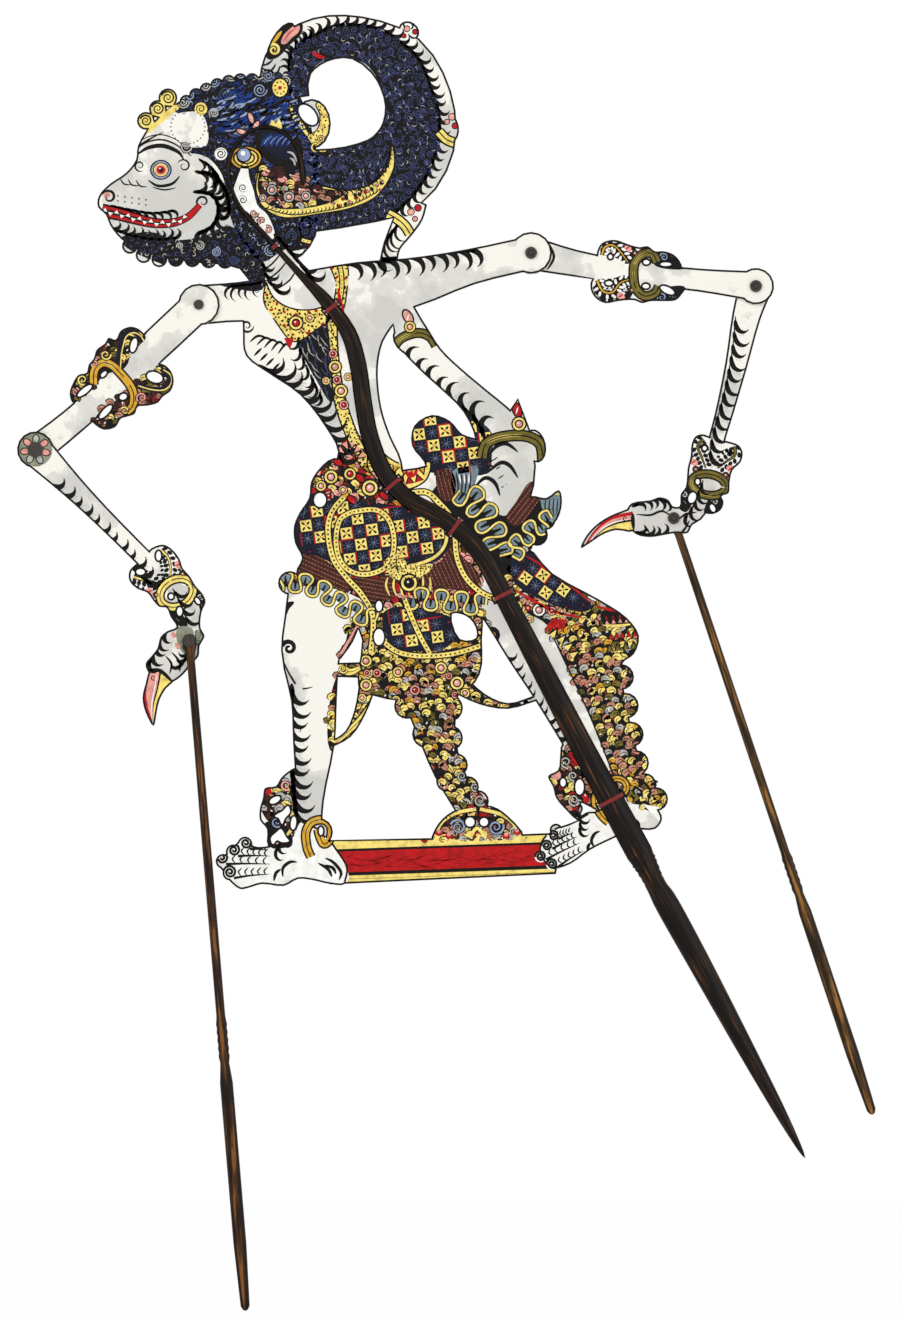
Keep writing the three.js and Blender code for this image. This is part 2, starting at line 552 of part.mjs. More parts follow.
const pinHole = (u) => oval([u, 0, PIN_RADIUS + PIN_CLEARANCE], inMillimetres);

function upperArm(arm) {
  const place = onArm(arm.shoulder, arm.elbow, arm.upperLength);
  const outlines = [
    ribbon(arm.upperBar, place), oval([0, 0, SHOULDER_RADIUS], inMillimetres),
    oval([arm.upperLength, 0, ELBOW_RADIUS], inMillimetres), ...arm.armlet.map((points) => blob(points, place)),
  ];
  const holes = [
    pinHole(0), pinHole(arm.upperLength), ...arm.armletHoles.map((hole) => oval(hole, place)),
  ];
  const layer = span(arm.side, layerInner(arm.side, 0), ARM_THICKNESS);
  return named(`${arm.label}_upper_arm`, cutPlate(outlines, holes, ...layer), rawhide());
}

function forearm(arm) {
  const place = onArm(arm.elbow, arm.hand, arm.foreLength);
  const outlines = [
    ribbon(arm.foreBar, place), oval([0, 0, ELBOW_RADIUS], inMillimetres), blob(arm.handOutline, place),
    blob(arm.nail, place),
  ];
  const holes = [pinHole(0), pinHole(arm.foreLength), ...arm.handHoles.map((hole) => oval(hole, place))];
  const layer = span(arm.side, layerInner(arm.side, 1), ARM_THICKNESS);
  return named(`${arm.label}_forearm`, cutPlate(outlines, holes, ...layer), rawhide());
}

// A pin with a disc head outside the layers it joins, and a loose collar on its inner end
function jointPin(name, side, headRadius, headInner, collarOuter) {
  const centre = new THREE.Vector2();
  const head = disc(centre, headRadius, ...span(side, headInner, PIN_HEAD_THICKNESS));
  const tail = collarOuter - side * (PIN_HEAD_THICKNESS + LAYER_GAP);
  const stem = disc(centre, PIN_RADIUS, Math.min(tail, headInner), Math.max(tail, headInner));
  return named(`${name}_pin`, head.add(stem), bone());
}

function jointCollar(name, side, collarOuter) {
  const centre = new THREE.Vector2();
  const [yFront, yBack] = span(-side, collarOuter, PIN_HEAD_THICKNESS);
  const ring = disc(centre, COLLAR_RADIUS, yFront, yBack);
  const bore = disc(centre, PIN_RADIUS + LAYER_GAP, yFront - 1, yBack + 1);
  return named(`${name}_collar`, ring.subtract(bore), bone());
}

// Hand rod, drawn along +X from its eye, which lies against the hand
function handRod(name, length, side) {
  const y = layerInner(side, 2) + side * (HAND_ROD_RADIUS);
  const eye = HAND_ROD_EYE_RADIUS;
  const stations = [
    [-eye, 0.4, 0.4], [0, 2 * eye, 2 * HAND_ROD_RADIUS], [eye * 2.4, 1.8 * HAND_ROD_RADIUS, 2 * HAND_ROD_RADIUS],
    [length * 0.3, 2 * HAND_ROD_RADIUS, 2 * HAND_ROD_RADIUS],
    [length * 0.56, 2 * HAND_ROD_RADIUS, 2 * HAND_ROD_RADIUS],
    [length * 0.575, 2.5 * HAND_ROD_RADIUS, 2 * HAND_ROD_RADIUS],
    [length * 0.61, 2.5 * HAND_ROD_RADIUS, 2 * HAND_ROD_RADIUS],
    [length * 0.625, 2 * HAND_ROD_RADIUS, 2 * HAND_ROD_RADIUS],
    [length * 0.66, 2 * HAND_ROD_GRIP_RADIUS, 2 * HAND_ROD_RADIUS],
    [length * 0.9, 2 * HAND_ROD_GRIP_RADIUS, 2 * HAND_ROD_RADIUS],
    [length - 3, 1.4 * HAND_ROD_GRIP_RADIUS, 1.4 * HAND_ROD_RADIUS], [length, 0.4, 0.4],
  ].map(([x, width, depth]) => ({ x, z: 0, width, depth }));
  const bore = disc(new THREE.Vector2(), PIN_RADIUS + PIN_CLEARANCE, y - 2 * eye, y + 2 * eye);
  return named(name, loft(stations, HAND_ROD_SIDES, y).subtract(bore), horn());
}

function placed(group, x, z, turn) {
  group.position.set(x, 0, z);
  group.rotation.y = -turn;
  return group;
}

// One whole arm: each group turns on the pin at its own origin and carries the next
function jointedArm(arm) {
  const { label, side } = arm;
  const upperGroup = new THREE.Group();
  const foreGroup = new THREE.Group();
  const rodGroup = new THREE.Group();
  const bodyFace = -side * (PLATE_THICKNESS / 2 + LAYER_GAP);
  const upperFace = layerInner(side, 0) - side * LAYER_GAP;
  const foreFace = layerInner(side, 1) - side * LAYER_GAP;
  const rodFace = layerInner(side, 2) + side * (2 * HAND_ROD_RADIUS + LAYER_GAP);
  upperGroup.add(upperArm(arm));
  upperGroup.add(jointPin(`${label}_shoulder`, side, SHOULDER_PIN_HEAD, layerInner(side, 1), bodyFace));
  upperGroup.add(jointCollar(`${label}_shoulder`, side, bodyFace));
  foreGroup.add(forearm(arm));
  foreGroup.add(jointPin(`${label}_elbow`, side, ELBOW_PIN_HEAD, layerInner(side, 2), upperFace));
  foreGroup.add(jointCollar(`${label}_elbow`, side, upperFace));
  rodGroup.add(handRod(`${label}_hand_rod`, arm.rodLength, side));
  rodGroup.add(jointPin(`${label}_hand`, side, HAND_PIN_HEAD, rodFace, foreFace));
  rodGroup.add(jointCollar(`${label}_hand`, side, foreFace));
  const upperTurn = heading(arm.shoulder, arm.elbow);
  const foreTurn = heading(arm.elbow, arm.hand);
  const shoulder = onSheet(arm.shoulder);
  foreGroup.add(placed(rodGroup, arm.foreLength, 0, THREE.MathUtils.degToRad(arm.rodAngle) - foreTurn));
  upperGroup.add(placed(foreGroup, arm.upperLength, 0, foreTurn - upperTurn));
  return placed(upperGroup, shoulder.x, shoulder.y, upperTurn);
}

const puppet = new THREE.Group();
puppet.add(bodyPlate());
puppet.add(mainRod());
puppet.add(...ties());
puppet.add(jointedArm(FRONT_ARM));
puppet.add(jointedArm(BACK_ARM));

export default puppet;
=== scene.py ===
import json
import math
import random

import bpy
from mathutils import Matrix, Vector
from mathutils.bvhtree import BVHTree
from mathutils.geometry import delaunay_2d_cdt


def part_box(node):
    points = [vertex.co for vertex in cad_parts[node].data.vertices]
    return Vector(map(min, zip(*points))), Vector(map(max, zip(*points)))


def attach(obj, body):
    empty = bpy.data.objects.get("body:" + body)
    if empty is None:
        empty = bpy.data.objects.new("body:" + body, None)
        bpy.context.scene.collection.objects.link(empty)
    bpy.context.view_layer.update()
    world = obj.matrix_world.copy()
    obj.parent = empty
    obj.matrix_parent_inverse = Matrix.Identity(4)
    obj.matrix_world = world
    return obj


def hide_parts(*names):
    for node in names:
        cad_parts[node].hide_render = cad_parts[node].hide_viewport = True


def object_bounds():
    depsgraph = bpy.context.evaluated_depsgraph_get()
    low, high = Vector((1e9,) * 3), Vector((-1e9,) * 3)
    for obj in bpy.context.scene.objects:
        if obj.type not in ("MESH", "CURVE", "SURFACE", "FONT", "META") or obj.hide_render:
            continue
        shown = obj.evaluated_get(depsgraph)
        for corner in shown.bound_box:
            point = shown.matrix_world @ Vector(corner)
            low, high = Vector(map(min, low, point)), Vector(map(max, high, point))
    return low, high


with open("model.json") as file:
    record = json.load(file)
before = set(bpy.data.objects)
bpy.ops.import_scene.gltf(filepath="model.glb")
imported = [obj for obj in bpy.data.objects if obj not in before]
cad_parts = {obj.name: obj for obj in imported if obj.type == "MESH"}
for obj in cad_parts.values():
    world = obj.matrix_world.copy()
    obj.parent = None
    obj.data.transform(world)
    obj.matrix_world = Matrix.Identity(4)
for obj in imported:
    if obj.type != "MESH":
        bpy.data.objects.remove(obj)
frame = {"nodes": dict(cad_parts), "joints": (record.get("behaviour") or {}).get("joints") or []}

cad_low, cad_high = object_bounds()

# The pattern sheet is 900 by 1321 squares, x to the right and y down, as in the solid model
FIGURE_HEIGHT = 0.521
SQUARE = FIGURE_HEIGHT / 869
SHEET_SIZE = (900, 1321)
SHEET_ORIGIN = (805, 1158)
MILLIMETRE = 0.001

# Each coat of paint lies this far above the one below it
COAT = 0.018 * MILLIMETRE

CURVE_STEPS = 5
DOT_SIDES = 12

# Rows of scattered marks lie closer than the marks in a row
ROW_PITCH = 0.87
JITTER = 0.3

# A stroke this wide, in squares, is cut off at an edge; a finer one stops before it
CUT_WIDTH = 2.6
THINNEST_TAPER = 0.15

# Tolerances in metres, and in square metres for the area
ON_PLATE = 2e-6
ON_FACE = 1e-5
MERGE_DISTANCE = 1e-7
SMALLEST_AREA = 1e-14


def on_sheet(x, y):
    return ((x - SHEET_ORIGIN[0]) * SQUARE, (SHEET_ORIGIN[1] - y) * SQUARE)


# Plane curves on the sheet

def spline(points, closed=False, steps=CURVE_STEPS):
    """A smooth line through the points."""
    points = [tuple(p) for p in points]
    count = len(points)
    if count < 3:
        a, b = points[0], points[-1]
        return [tuple(p + (q - p) * i / steps for p, q in zip(a, b)) for i in range(steps + 1)]
    line = []
    for i in range(count if closed else count - 1):
        if closed:
            p0, p1, p2, p3 = (points[(i + k) % count] for k in (-1, 0, 1, 2))
        else:
            p0, p1 = points[max(i - 1, 0)], points[i]
            p2, p3 = points[i + 1], points[min(i + 2, count - 1)]
        for k in range(steps):
            t = k / steps
            line.append(tuple(
                0.5 * (2 * b + (c - a) * t + (2 * a - 5 * b + 4 * c - d) * t * t
                       + (3 * b - a - 3 * c + d) * t ** 3)
                for a, b, c, d in zip(p0, p1, p2, p3)))
    if not closed:
        line.append(points[-1])
    return line


def ring(x, y, rx, ry=None, tilt=0, sides=DOT_SIDES):
    ry = rx if ry is None else ry
    c, s = math.cos(math.radians(tilt)), math.sin(math.radians(tilt))
    found = []
    for i in range(sides):
        a = 2 * math.pi * i / sides
        u, v = rx * math.cos(a), ry * math.sin(a)
        found.append((x + u * c - v * s, y + u * s + v * c))
    return found


def spiral(x, y, radius, start, turns, inner=0.15, steps=12):
    """A curl that starts at radius in direction start, in degrees, and winds inwards."""
    found = []
    count = max(4, int(abs(turns) * steps))
    for i in range(count + 1):
        t = i / count
        a = math.radians(start + 360 * turns * t)
        r = radius * (1 - (1 - inner) * t)
        found.append((x + r * math.cos(a), y + r * math.sin(a)))
    return found


def length_of(line):
    return sum(math.dist(a, b) for a, b in zip(line, line[1:]))


def walk(points, count):
    """Evenly spaced places on a smooth line: position and unit direction."""
    line = spline(points)
    lengths = [math.dist(a, b) for a, b in zip(line, line[1:])]
    total = sum(lengths)
    found = []
    for i in range(count):
        wanted = total * (i + 0.5) / count
        k = 0
        while k < len(lengths) - 1 and wanted > lengths[k]:
            wanted -= lengths[k]
            k += 1
        (ax, ay), (bx, by) = line[k], line[k + 1]
        length = max(lengths[k], 1e-9)
        t = wanted / length
        found.append(((ax + (bx - ax) * t, ay + (by - ay) * t), ((bx - ax) / length, (by - ay) / length)))
    return found


def inside(point, outline):
    x, y = point
    found = False
    for (ax, ay), (bx, by) in zip(outline, outline[1:] + outline[:1]):
        if (ay > y) != (by > y) and x < (bx - ax) * (y - ay) / (by - ay) + ax:
            found = not found
    return found


def scatter(outline, spacing, rng):
    """Points on a jittered grid inside an outline."""
    xs, ys = [p[0] for p in outline], [p[1] for p in outline]
    row = 0
    y = min(ys)
    while y < max(ys):
        x = min(xs) + (spacing / 2 if row % 2 else 0)
        while x < max(xs):
            p = (x + rng.uniform(-JITTER, JITTER) * spacing, y + rng.uniform(-JITTER, JITTER) * spacing)
            if inside(p, outline):
                yield p
            x += spacing
        y += spacing * ROW_PITCH
        row += 1


def turned_left(shape):
    """The closed shape, run so that its area is positive."""
    turn = sum(a[0] * b[1] - b[0] * a[1] for a, b in zip(shape, shape[1:] + shape[:1]))
    return shape[::-1] if turn < 0 else shape


def add_object(name, data):
    obj = bpy.data.objects.new(name, data)
    bpy.context.scene.collection.objects.link(obj)
    return obj


class Plate:
    """The two painted faces of one cut plate. Every mark is made once and shown on both faces."""

    def __init__(self, node, body):
        self.node, self.body = node, body
        low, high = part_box(node)
        self.faces_y = ((low[1], -1), (high[1], 1))
        self.marks = {}
        self.triangles = self.front_triangles()
        corners = [Vector((x, 0, z)) for t in self.triangles for x, z in t]
        self.tree = BVHTree.FromPolygons(corners, [(i, i + 1, i + 2) for i in range(0, len(corners), 3)])
        self.loops = self.edge_loops()

    def front_triangles(self):
        obj = frame["nodes"][self.node]
        mesh = obj.data
        mesh.calc_loop_triangles()
        places = [obj.matrix_world @ v.co for v in mesh.vertices]
        front = self.faces_y[0][0]
        found = []
        for t in mesh.loop_triangles:
            corners = [places[i] for i in t.vertices]
            if all(abs(c.y - front) < ON_FACE for c in corners):
                a, b, c = [(p.x, p.z) for p in corners]
                area = (b[0] - a[0]) * (c[1] - a[1]) - (b[1] - a[1]) * (c[0] - a[0])
                if abs(area) > SMALLEST_AREA:
                    found.append((a, b, c) if area > 0 else (a, c, b))
        return found

    def edge_loops(self):
        """The plate's outlines and hole edges, each with the material on its left."""
        edges = set()
        for t in self.triangles:
            a, b, c = [(round(p[0], 6), round(p[1], 6)) for p in t]
            edges.update(((a, b), (b, c), (c, a)))
        after = {a: b for a, b in edges if (b, a) not in edges and a != b}
        loops = []
        while after:
            start, here = after.popitem()
            loop = [start]
            while here != start and here in after:
                loop.append(here)
                here = after.pop(here)
            if len(loop) > 2:
                loops.append(loop)
        return loops

    def holds(self, x, z):
        found = self.tree.find_nearest(Vector((x, 0, z)))
        return found[3] is not None and found[3] < ON_PLATE

    def add(self, colour, coat, points, faces):
        """Keeps a mark, with only the points that its faces use."""
        if faces:
            used = sorted({i for face in faces for i in face})
            at = {i: n for n, i in enumerate(used)}
            self.marks.setdefault(colour, []).append(
                (coat, [points[i] for i in used], [[at[i] for i in face] for face in faces]))

    def fill(self, colour, outline, coat=1, smooth=True):
        """A filled shape, cut off at the plate's edges and holes."""
        outline = spline(outline, closed=True) if smooth else outline
        self.cut(colour, [on_sheet(*p) for p in outline], coat)

    def cut(self, colour, shape, coat):
        """The part of a closed shape that lies on the plate."""
        shape = turned_left(shape)
        low = [min(p[i] for p in shape) for i in (0, 1)]
        high = [max(p[i] for p in shape) for i in (0, 1)]
        points = [Vector(p) for p in shape]
        faces = [list(range(len(shape)))]
        index = {}
        for t in self.triangles:
            if any(max(p[i] for p in t) < low[i] or min(p[i] for p in t) > high[i] for i in (0, 1)):
                continue
            corners = []
            for p in t:
                spot = (round(p[0], 7), round(p[1], 7))
                if spot not in index:
                    index[spot] = len(points)
                    points.append(Vector(spot))
                corners.append(index[spot])
            if len(set(corners)) == 3:
                faces.append(corners)
        made = delaunay_2d_cdt(points, [], faces, 1, MERGE_DISTANCE)
        kept = [tuple(f) for f, origin in zip(made[2], made[5]) if 0 in origin and len(origin) > 1]
        self.add(colour, coat, [tuple(v) for v in made[0]], kept)

    def patch(self, colour, outline, coat=2):
        """A small filled shape: whole where it lies on the plate, otherwise cut off."""
        spots = [on_sheet(*p) for p in outline]
        if all(self.holds(*p) for p in spots):
            spots = turned_left(spots)
            middle = (sum(p[0] for p in spots) / len(spots), sum(p[1] for p in spots) / len(spots))
            count = len(spots)
            fan = [(i, (i + 1) % count, count) for i in range(count)]
            self.add(colour, coat, spots + [middle], fan)
        else:
            self.cut(colour, spots, coat)

    def stroke(self, colour, points, width, coat=3, taper="both", smooth=True):
        """A brush line; taper says which ends run out thin."""
        line = spline(points) if smooth else list(points)
        spots = [on_sheet(*p) for p in line]
        count = len(spots)
        edges = []
        for i, (x, z) in enumerate(spots):
            before, after = spots[max(i - 1, 0)], spots[min(i + 1, count - 1)]
            dx, dz = after[0] - before[0], after[1] - before[1]
            length = math.hypot(dx, dz) or 1
            t = i / max(count - 1, 1)
            share = {"both": max(math.sin(math.pi * t), 0) ** 0.6, "end": (1 - t) ** 0.6,
                     "tail": 1 - 0.6 * t, "none": 1,
                     "leaf": math.sin(math.pi * t ** 0.55)}[taper]
            half = width * SQUARE * max(share, THINNEST_TAPER) / 2
            nx, nz = -dz / length * half, dx / length * half
            edges.append(((x + nx, z + nz), (x - nx, z - nz)))
        held = [self.holds(*a) and self.holds(*b) for a, b in edges]
        if width >= CUT_WIDTH and any(held) and not all(held):
            self.cut(colour, [a for a, b in edges] + [b for a, b in reversed(edges)], coat)
            return
        points = [p for pair in edges for p in pair]
        faces = [(2 * i + 1, 2 * i + 3, 2 * i + 2, 2 * i) for i in range(count - 1)
                 if held[i] and held[i + 1]]
        self.add(colour, coat, points, faces)

    def dot(self, colour, x, y, radius, coat=3, ry=None, tilt=0, sides=DOT_SIDES):
        self.patch(colour, ring(x, y, radius, ry, tilt, sides), coat)

    def outline_edges(self, colour, width, coat=6):
        """A line along every edge of the plate."""
        reach = width * SQUARE
        for loop in self.loops:
            count = len(loop)
            inner = []
            for i, (x, z) in enumerate(loop):
                before, after = loop[i - 1], loop[(i + 1) % count]
                a = Vector((x - before[0], z - before[1])).normalized()
                b = Vector((after[0] - x, after[1] - z)).normalized()
                across = Vector((-(a.y + b.y), a.x + b.x))
                across = across.normalized() if across.length > 1e-6 else Vector((-a.y, a.x))
                share = min(1 / max(abs(across.dot(Vector((-a.y, a.x)))), 0.5), 1.5)
                inner.append((x + across.x * reach * share, z + across.y * reach * share))
            faces = [(i, (i + 1) % count, count + (i + 1) % count, count + i) for i in range(count)]
            self.add(colour, coat, loop + inner, faces)

    def finish(self):
        """Makes one object for each colour, with its marks on both faces."""
        for colour, marks in self.marks.items():
            vertices, faces = [], []
            for coat, points, polygons in marks:
                for face_y, sign in self.faces_y:
                    first = len(vertices)
                    y = face_y + sign * coat * COAT
                    vertices.extend((x, y, z) for x, z in points)
                    for polygon in polygons:
                        turned = polygon if sign < 0 else polygon[::-1]
                        faces.append([first + i for i in turned])
            mesh = bpy.data.meshes.new(f"{self.node}_{colour}")
            mesh.from_pydata(vertices, [], faces)
            mesh.validate()
            obj = add_object(f"{self.node}_{colour}_paint", mesh)
            mesh.materials.append(paint_material(colour))
            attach(obj, self.body)


# Materials

def linear(colour):
    return tuple(c / 12.92 if c <= 0.04045 else ((c + 0.055) / 1.055) ** 2.4 for c in colour) + (1.0,)


PAINTS = {
    "black": (0.05, 0.042, 0.038),
    "white": (0.95, 0.945, 0.92),
    "shade": (0.70, 0.69, 0.66),
    "bare": (0.80, 0.79, 0.765),
    "navy": (0.075, 0.085, 0.15),
    "deep_blue": (0.10, 0.22, 0.50),
    "violet": (0.27, 0.28, 0.47),
    "slate": (0.23, 0.27, 0.40),
    "pale_blue": (0.56, 0.62, 0.74),
    "frill": (0.46, 0.53, 0.56),
    "sage": (0.55, 0.57, 0.49),
    "gold": (0.95, 0.85, 0.46),
    "ochre": (0.84, 0.64, 0.20),
    "olive": (0.44, 0.395, 0.155),
    "red": (0.70, 0.035, 0.055),
    "crimson": (0.60, 0.03, 0.045),
    "pink": (0.90, 0.62, 0.57),
    "tan": (0.74, 0.52, 0.42),
    "brown": (0.27, 0.13, 0.10),
}


def new_material(name):
    material = bpy.data.materials.new(name)
    material.use_nodes = True
    tree = material.node_tree
    return material, tree, tree.nodes["Principled BSDF"]


def noise_at(tree, scale, detail=3.0, roughness=0.5, output="Object", stretch=None):
    coords = tree.nodes.new("ShaderNodeTexCoord")
    noise = tree.nodes.new("ShaderNodeTexNoise")
    noise.inputs["Scale"].default_value = scale
    noise.inputs["Detail"].default_value = detail
    noise.inputs["Roughness"].default_value = roughness
    source = coords.outputs[output]
    if stretch:
        mapping = tree.nodes.new("ShaderNodeMapping")
        mapping.inputs["Scale"].default_value = stretch
        tree.links.new(source, mapping.inputs["Vector"])
        source = mapping.outputs["Vector"]
    tree.links.new(source, noise.inputs["Vector"])
    return noise.outputs["Fac"]


def colour_from(tree, source, shader, stops):
    """Colours a surface by a value; each stop is a position and a colour."""
    ramp = tree.nodes.new("ShaderNodeValToRGB")
    while len(ramp.color_ramp.elements) < len(stops):
        ramp.color_ramp.elements.new(0.5)
    for element, (position, colour) in zip(ramp.color_ramp.elements, stops):
        element.position = position
        element.color = linear(colour)
    tree.links.new(source, ramp.inputs["Fac"])
    tree.links.new(ramp.outputs["Color"], shader.inputs["Base Color"])


def math_node(tree, operation, *values):
    """A Math node's result; each value is a number or a socket."""
    node = tree.nodes.new("ShaderNodeMath")
    node.operation = operation
    for i, value in enumerate(values):
        if isinstance(value, bpy.types.NodeSocket):
            tree.links.new(value, node.inputs[i])
        else:
            node.inputs[i].default_value = value
    return node.outputs["Value"]


def bump_from(tree, source, shader, strength, distance):
    bump = tree.nodes.new("ShaderNodeBump")
    bump.inputs["Strength"].default_value = strength
    bump.inputs["Distance"].default_value = distance
    tree.links.new(source, bump.inputs["Height"])
    tree.links.new(bump.outputs["Normal"], shader.inputs["Normal"])


made_paints = {}


def paint_material(colour):
    """Hand-brushed water paint: slightly uneven in tone, with a fine dry tooth."""
    if colour in made_paints:
        return made_paints[colour]
    material, tree, shader = new_material(f"paint_{colour}")
    tone = PAINTS[colour]
    depth = 0.95 if colour in ("white", "shade", "bare") else 0.82
    light = tuple(min(c * 1.08 + 0.015, 1) for c in tone)
    dark = tuple(c * depth for c in tone)
    clouds = noise_at(tree, 260, 4, 0.6)
    colour_from(tree, clouds, shader, [(0.3, dark), (0.5, tone), (0.72, light)])
    shader.inputs["Roughness"].default_value = 0.45 if colour == "red" else 0.6
    shader.inputs["Specular IOR Level"].default_value = 0.2 if colour == "red" else 0.14
    tooth = noise_at(tree, 2600, 3, 0.6)
    bump_from(tree, tooth, shader, 0.25, 0.08 * MILLIMETRE)
    made_paints[colour] = material
    return material


def hide_material():
    """Scraped rawhide: clouds of bare grey-beige hide in a worn cream ground, over a fine grain."""
    material, tree, shader = new_material("painted_rawhide")
    clouds = noise_at(tree, 15, 7, 0.6)
    colour_from(tree, clouds, shader, [
        (0.44, (0.79, 0.785, 0.765)), (0.47, (0.83, 0.825, 0.80)),
        (0.50, (0.86, 0.85, 0.82)), (0.515, (0.945, 0.935, 0.90))])
    shader.inputs["Roughness"].default_value = 0.5
    grain = noise_at(tree, 800, 6, 0.65)
    bump_from(tree, grain, shader, 0.4, 0.15 * MILLIMETRE)
    return material


def horn_material(name, dark, warm, streaks, roughness, painted_sheen=0):
    """Polished horn with streaks that run along the rod, on the piece's own UV map.

    The last argument lightens the rod along its front and its back and darkens its sides: a painted highlight
    down the middle of each face.
    """
    material, tree, shader = new_material(name)
    noise = noise_at(tree, 1.0, 5, 0.55, "UV", streaks)
    middle = tuple(a * 0.6 + b * 0.4 for a, b in zip(dark, warm))
    tone = noise
    # Painted highlight: the tone is raised where the rod faces front or back and lowered at its sides
    if painted_sheen:
        coords = tree.nodes.new("ShaderNodeTexCoord")
        split = tree.nodes.new("ShaderNodeSeparateXYZ")
        tree.links.new(coords.outputs["UV"], split.inputs["Vector"])
        angle = math_node(tree, "MULTIPLY_ADD", split.outputs["Y"], 4 * math.pi, math.pi)
        tone = math_node(tree, "MULTIPLY_ADD", math_node(tree, "COSINE", angle), painted_sheen, noise)
    colour_from(tree, tone, shader, [(0.52, dark), (0.62, middle), (0.70, warm)])
    shader.inputs["Roughness"].default_value = roughness
    shader.inputs["Specular IOR Level"].default_value = 0.14
    bump_from(tree, noise, shader, 0.2, 0.2 * MILLIMETRE)
    return material


def thread_material():
    """Twisted red cotton."""
    material, tree, shader = new_material("red_thread")
    fibres = noise_at(tree, 1500, 4, 0.6)
    colour_from(tree, fibres, shader, [(0.35, (0.36, 0.015, 0.03)), (0.65, (0.64, 0.04, 0.07))])
    shader.inputs["Roughness"].default_value = 0.85
    shader.inputs["Sheen Weight"].default_value = 0.3
    bump_from(tree, fibres, shader, 0.6, 0.1 * MILLIMETRE)
    return material


def pin_material():
    """Dark bone, with pale wear spots."""
    material, tree, shader = new_material("dark_pin")
    spots = noise_at(tree, 700, 4, 0.6)
    colour_from(tree, spots, shader, [(0.45, (0.085, 0.07, 0.06)), (0.75, (0.28, 0.19, 0.14))])
    shader.inputs["Roughness"].default_value = 0.35
    bump_from(tree, spots, shader, 0.3, 0.1 * MILLIMETRE)
    return material


def set_material(obj, material):
    obj.data.materials.clear()
    obj.data.materials.append(material)


# Motifs

def fur(plate, path, count, reach, side=1, width=6.5, coat=3, wisps=True, line=0.8):
    """Crescent strokes that start on an edge, run along it and hook inwards."""
    hook = [(-0.03, -0.32), (0.08, 0.1), (0.3, 0.4), (0.6, 0.5), (0.84, 0.42), (1.0, 0.24)]
    for i, ((x, y), (tx, ty)) in enumerate(walk(path, count)):
        nx, ny = -ty * side, tx * side
        size = reach * (1.08 if i % 2 else 0.94)

        def at(a, b):
            return (x + (nx * a + tx * b) * size, y + (ny * a + ty * b) * size)

        plate.stroke("black", [at(a, b) for a, b in hook], width, coat, taper="leaf")
        plate.stroke("black", [at(-0.05, -0.6), at(0.03, -0.2), at(0.1, 0.2)], width * line, coat)
        if wisps:
            for a in (0.3, 0.45, 0.6):
                plate.stroke("black", [at(a, 0.62), at(a + 0.1, 0.8)], 1.1, coat, smooth=False)


def dashes(plate, outline, spacing, length, degrees, colours, seed, width=1.2, coat=2.4):
    """Short brushed hairs that lie along one direction."""
    rng = random.Random(seed)
    for x, y in scatter(spline(outline, closed=True), spacing, rng):
        a = math.radians(degrees + rng.uniform(-22, 22))
        dx, dy = math.cos(a) * length / 2, math.sin(a) * length / 2
        bow = rng.uniform(-1.4, 1.4)
        plate.stroke(rng.choice(colours), [(x - dx, y - dy), (x - dy * 0.1 + bow, y + dx * 0.1),
                                           (x + dx, y + dy)], width, coat)


def swirl(plate, colour, x, y, radius, start, turns, inner, width, coat, taper="both", steps=12):
    """One spiral brush line."""
    plate.stroke(colour, spiral(x, y, radius, start, turns, inner, steps), width, coat, taper, smooth=False)


def curls(plate, outline, spacing, size, colours, seed, width=1.0, coat=2, turns=0.7):
    """A field of small curls, as in painted hair."""
    rng = random.Random(seed)
    inner = 0.4 if turns < 1 else 0.12
    for x, y in scatter(spline(outline, closed=True), spacing, rng):
        colour = rng.choice(colours)
        start, way = rng.uniform(0, 360), rng.choice((-1, 1))
        r = size * rng.uniform(0.7, 1.15)
        swirl(plate, colour, x, y, r, start, turns * way, inner, width, coat, steps=9)


def hair_rolls(plate, centres, colours, width=1.1, coat=2.5):
    """Larger rolled locks, each of two or three turns."""
    for i, (x, y, r) in enumerate(centres):
        plate.dot("black", x, y, r * 1.1, coat - 0.3)
        colour = colours[i % len(colours)]
        swirl(plate, colour, x, y, r, i * 70, 2.2, 0.1, width, coat, "none", steps=14)


def lines(plate, colour, paths, width, coat=3, taper="both"):
    for path in paths:
        plate.stroke(colour, path, width, coat, taper=taper)


def speckle(plate, outline, spacing, size, seed, colour="black", coat=2.5):
    rng = random.Random(seed)
    for x, y in scatter(spline(outline, closed=True), spacing, rng):
        plate.dot(colour, x, y, size * rng.uniform(0.7, 1.2), coat, size * rng.uniform(0.5, 0.9),
                  rng.uniform(0, 180), sides=7)


def band(plate, path, width, tone="ochre", shine="gold", coat=3):
    """A raised ring or collar: dark edges, a metal colour and a dark groove along the middle."""
    piped(plate, tone, path, width, 3.4, coat, 0.5)
    plate.stroke("black", path, max(width * 0.16, 0.9), coat + 1, taper="none")
    line = spline(path)
    plate.stroke(shine, line[len(line) // 8: -len(line) // 3], width * 0.3, coat + 0.8, smooth=False)


def piped(plate, tone, path, width, rim, coat, lift=0.4, taper="none"):
    """A coloured line on a black one that is wider by rim."""
    plate.stroke("black", path, width + rim, coat, taper=taper)
    plate.stroke(tone, path, width, coat + lift, taper=taper)


def edge_line(plate, shape, width, coat):
    """A black line round a closed shape."""
    plate.stroke("black", shape + shape[:1], width, coat, taper="none")


def beads(plate, path, width=4, spacing=4.2, coat=3):
    """A gold strap with dark borders and a row of small dark beads."""
    piped(plate, "gold", path, width, 2.6, coat, 0.5)
    for (x, y), _ in walk(path, max(int(length_of(spline(path)) / spacing), 2)):
        plate.dot("black", x, y, width * 0.22, coat + 1, sides=6)


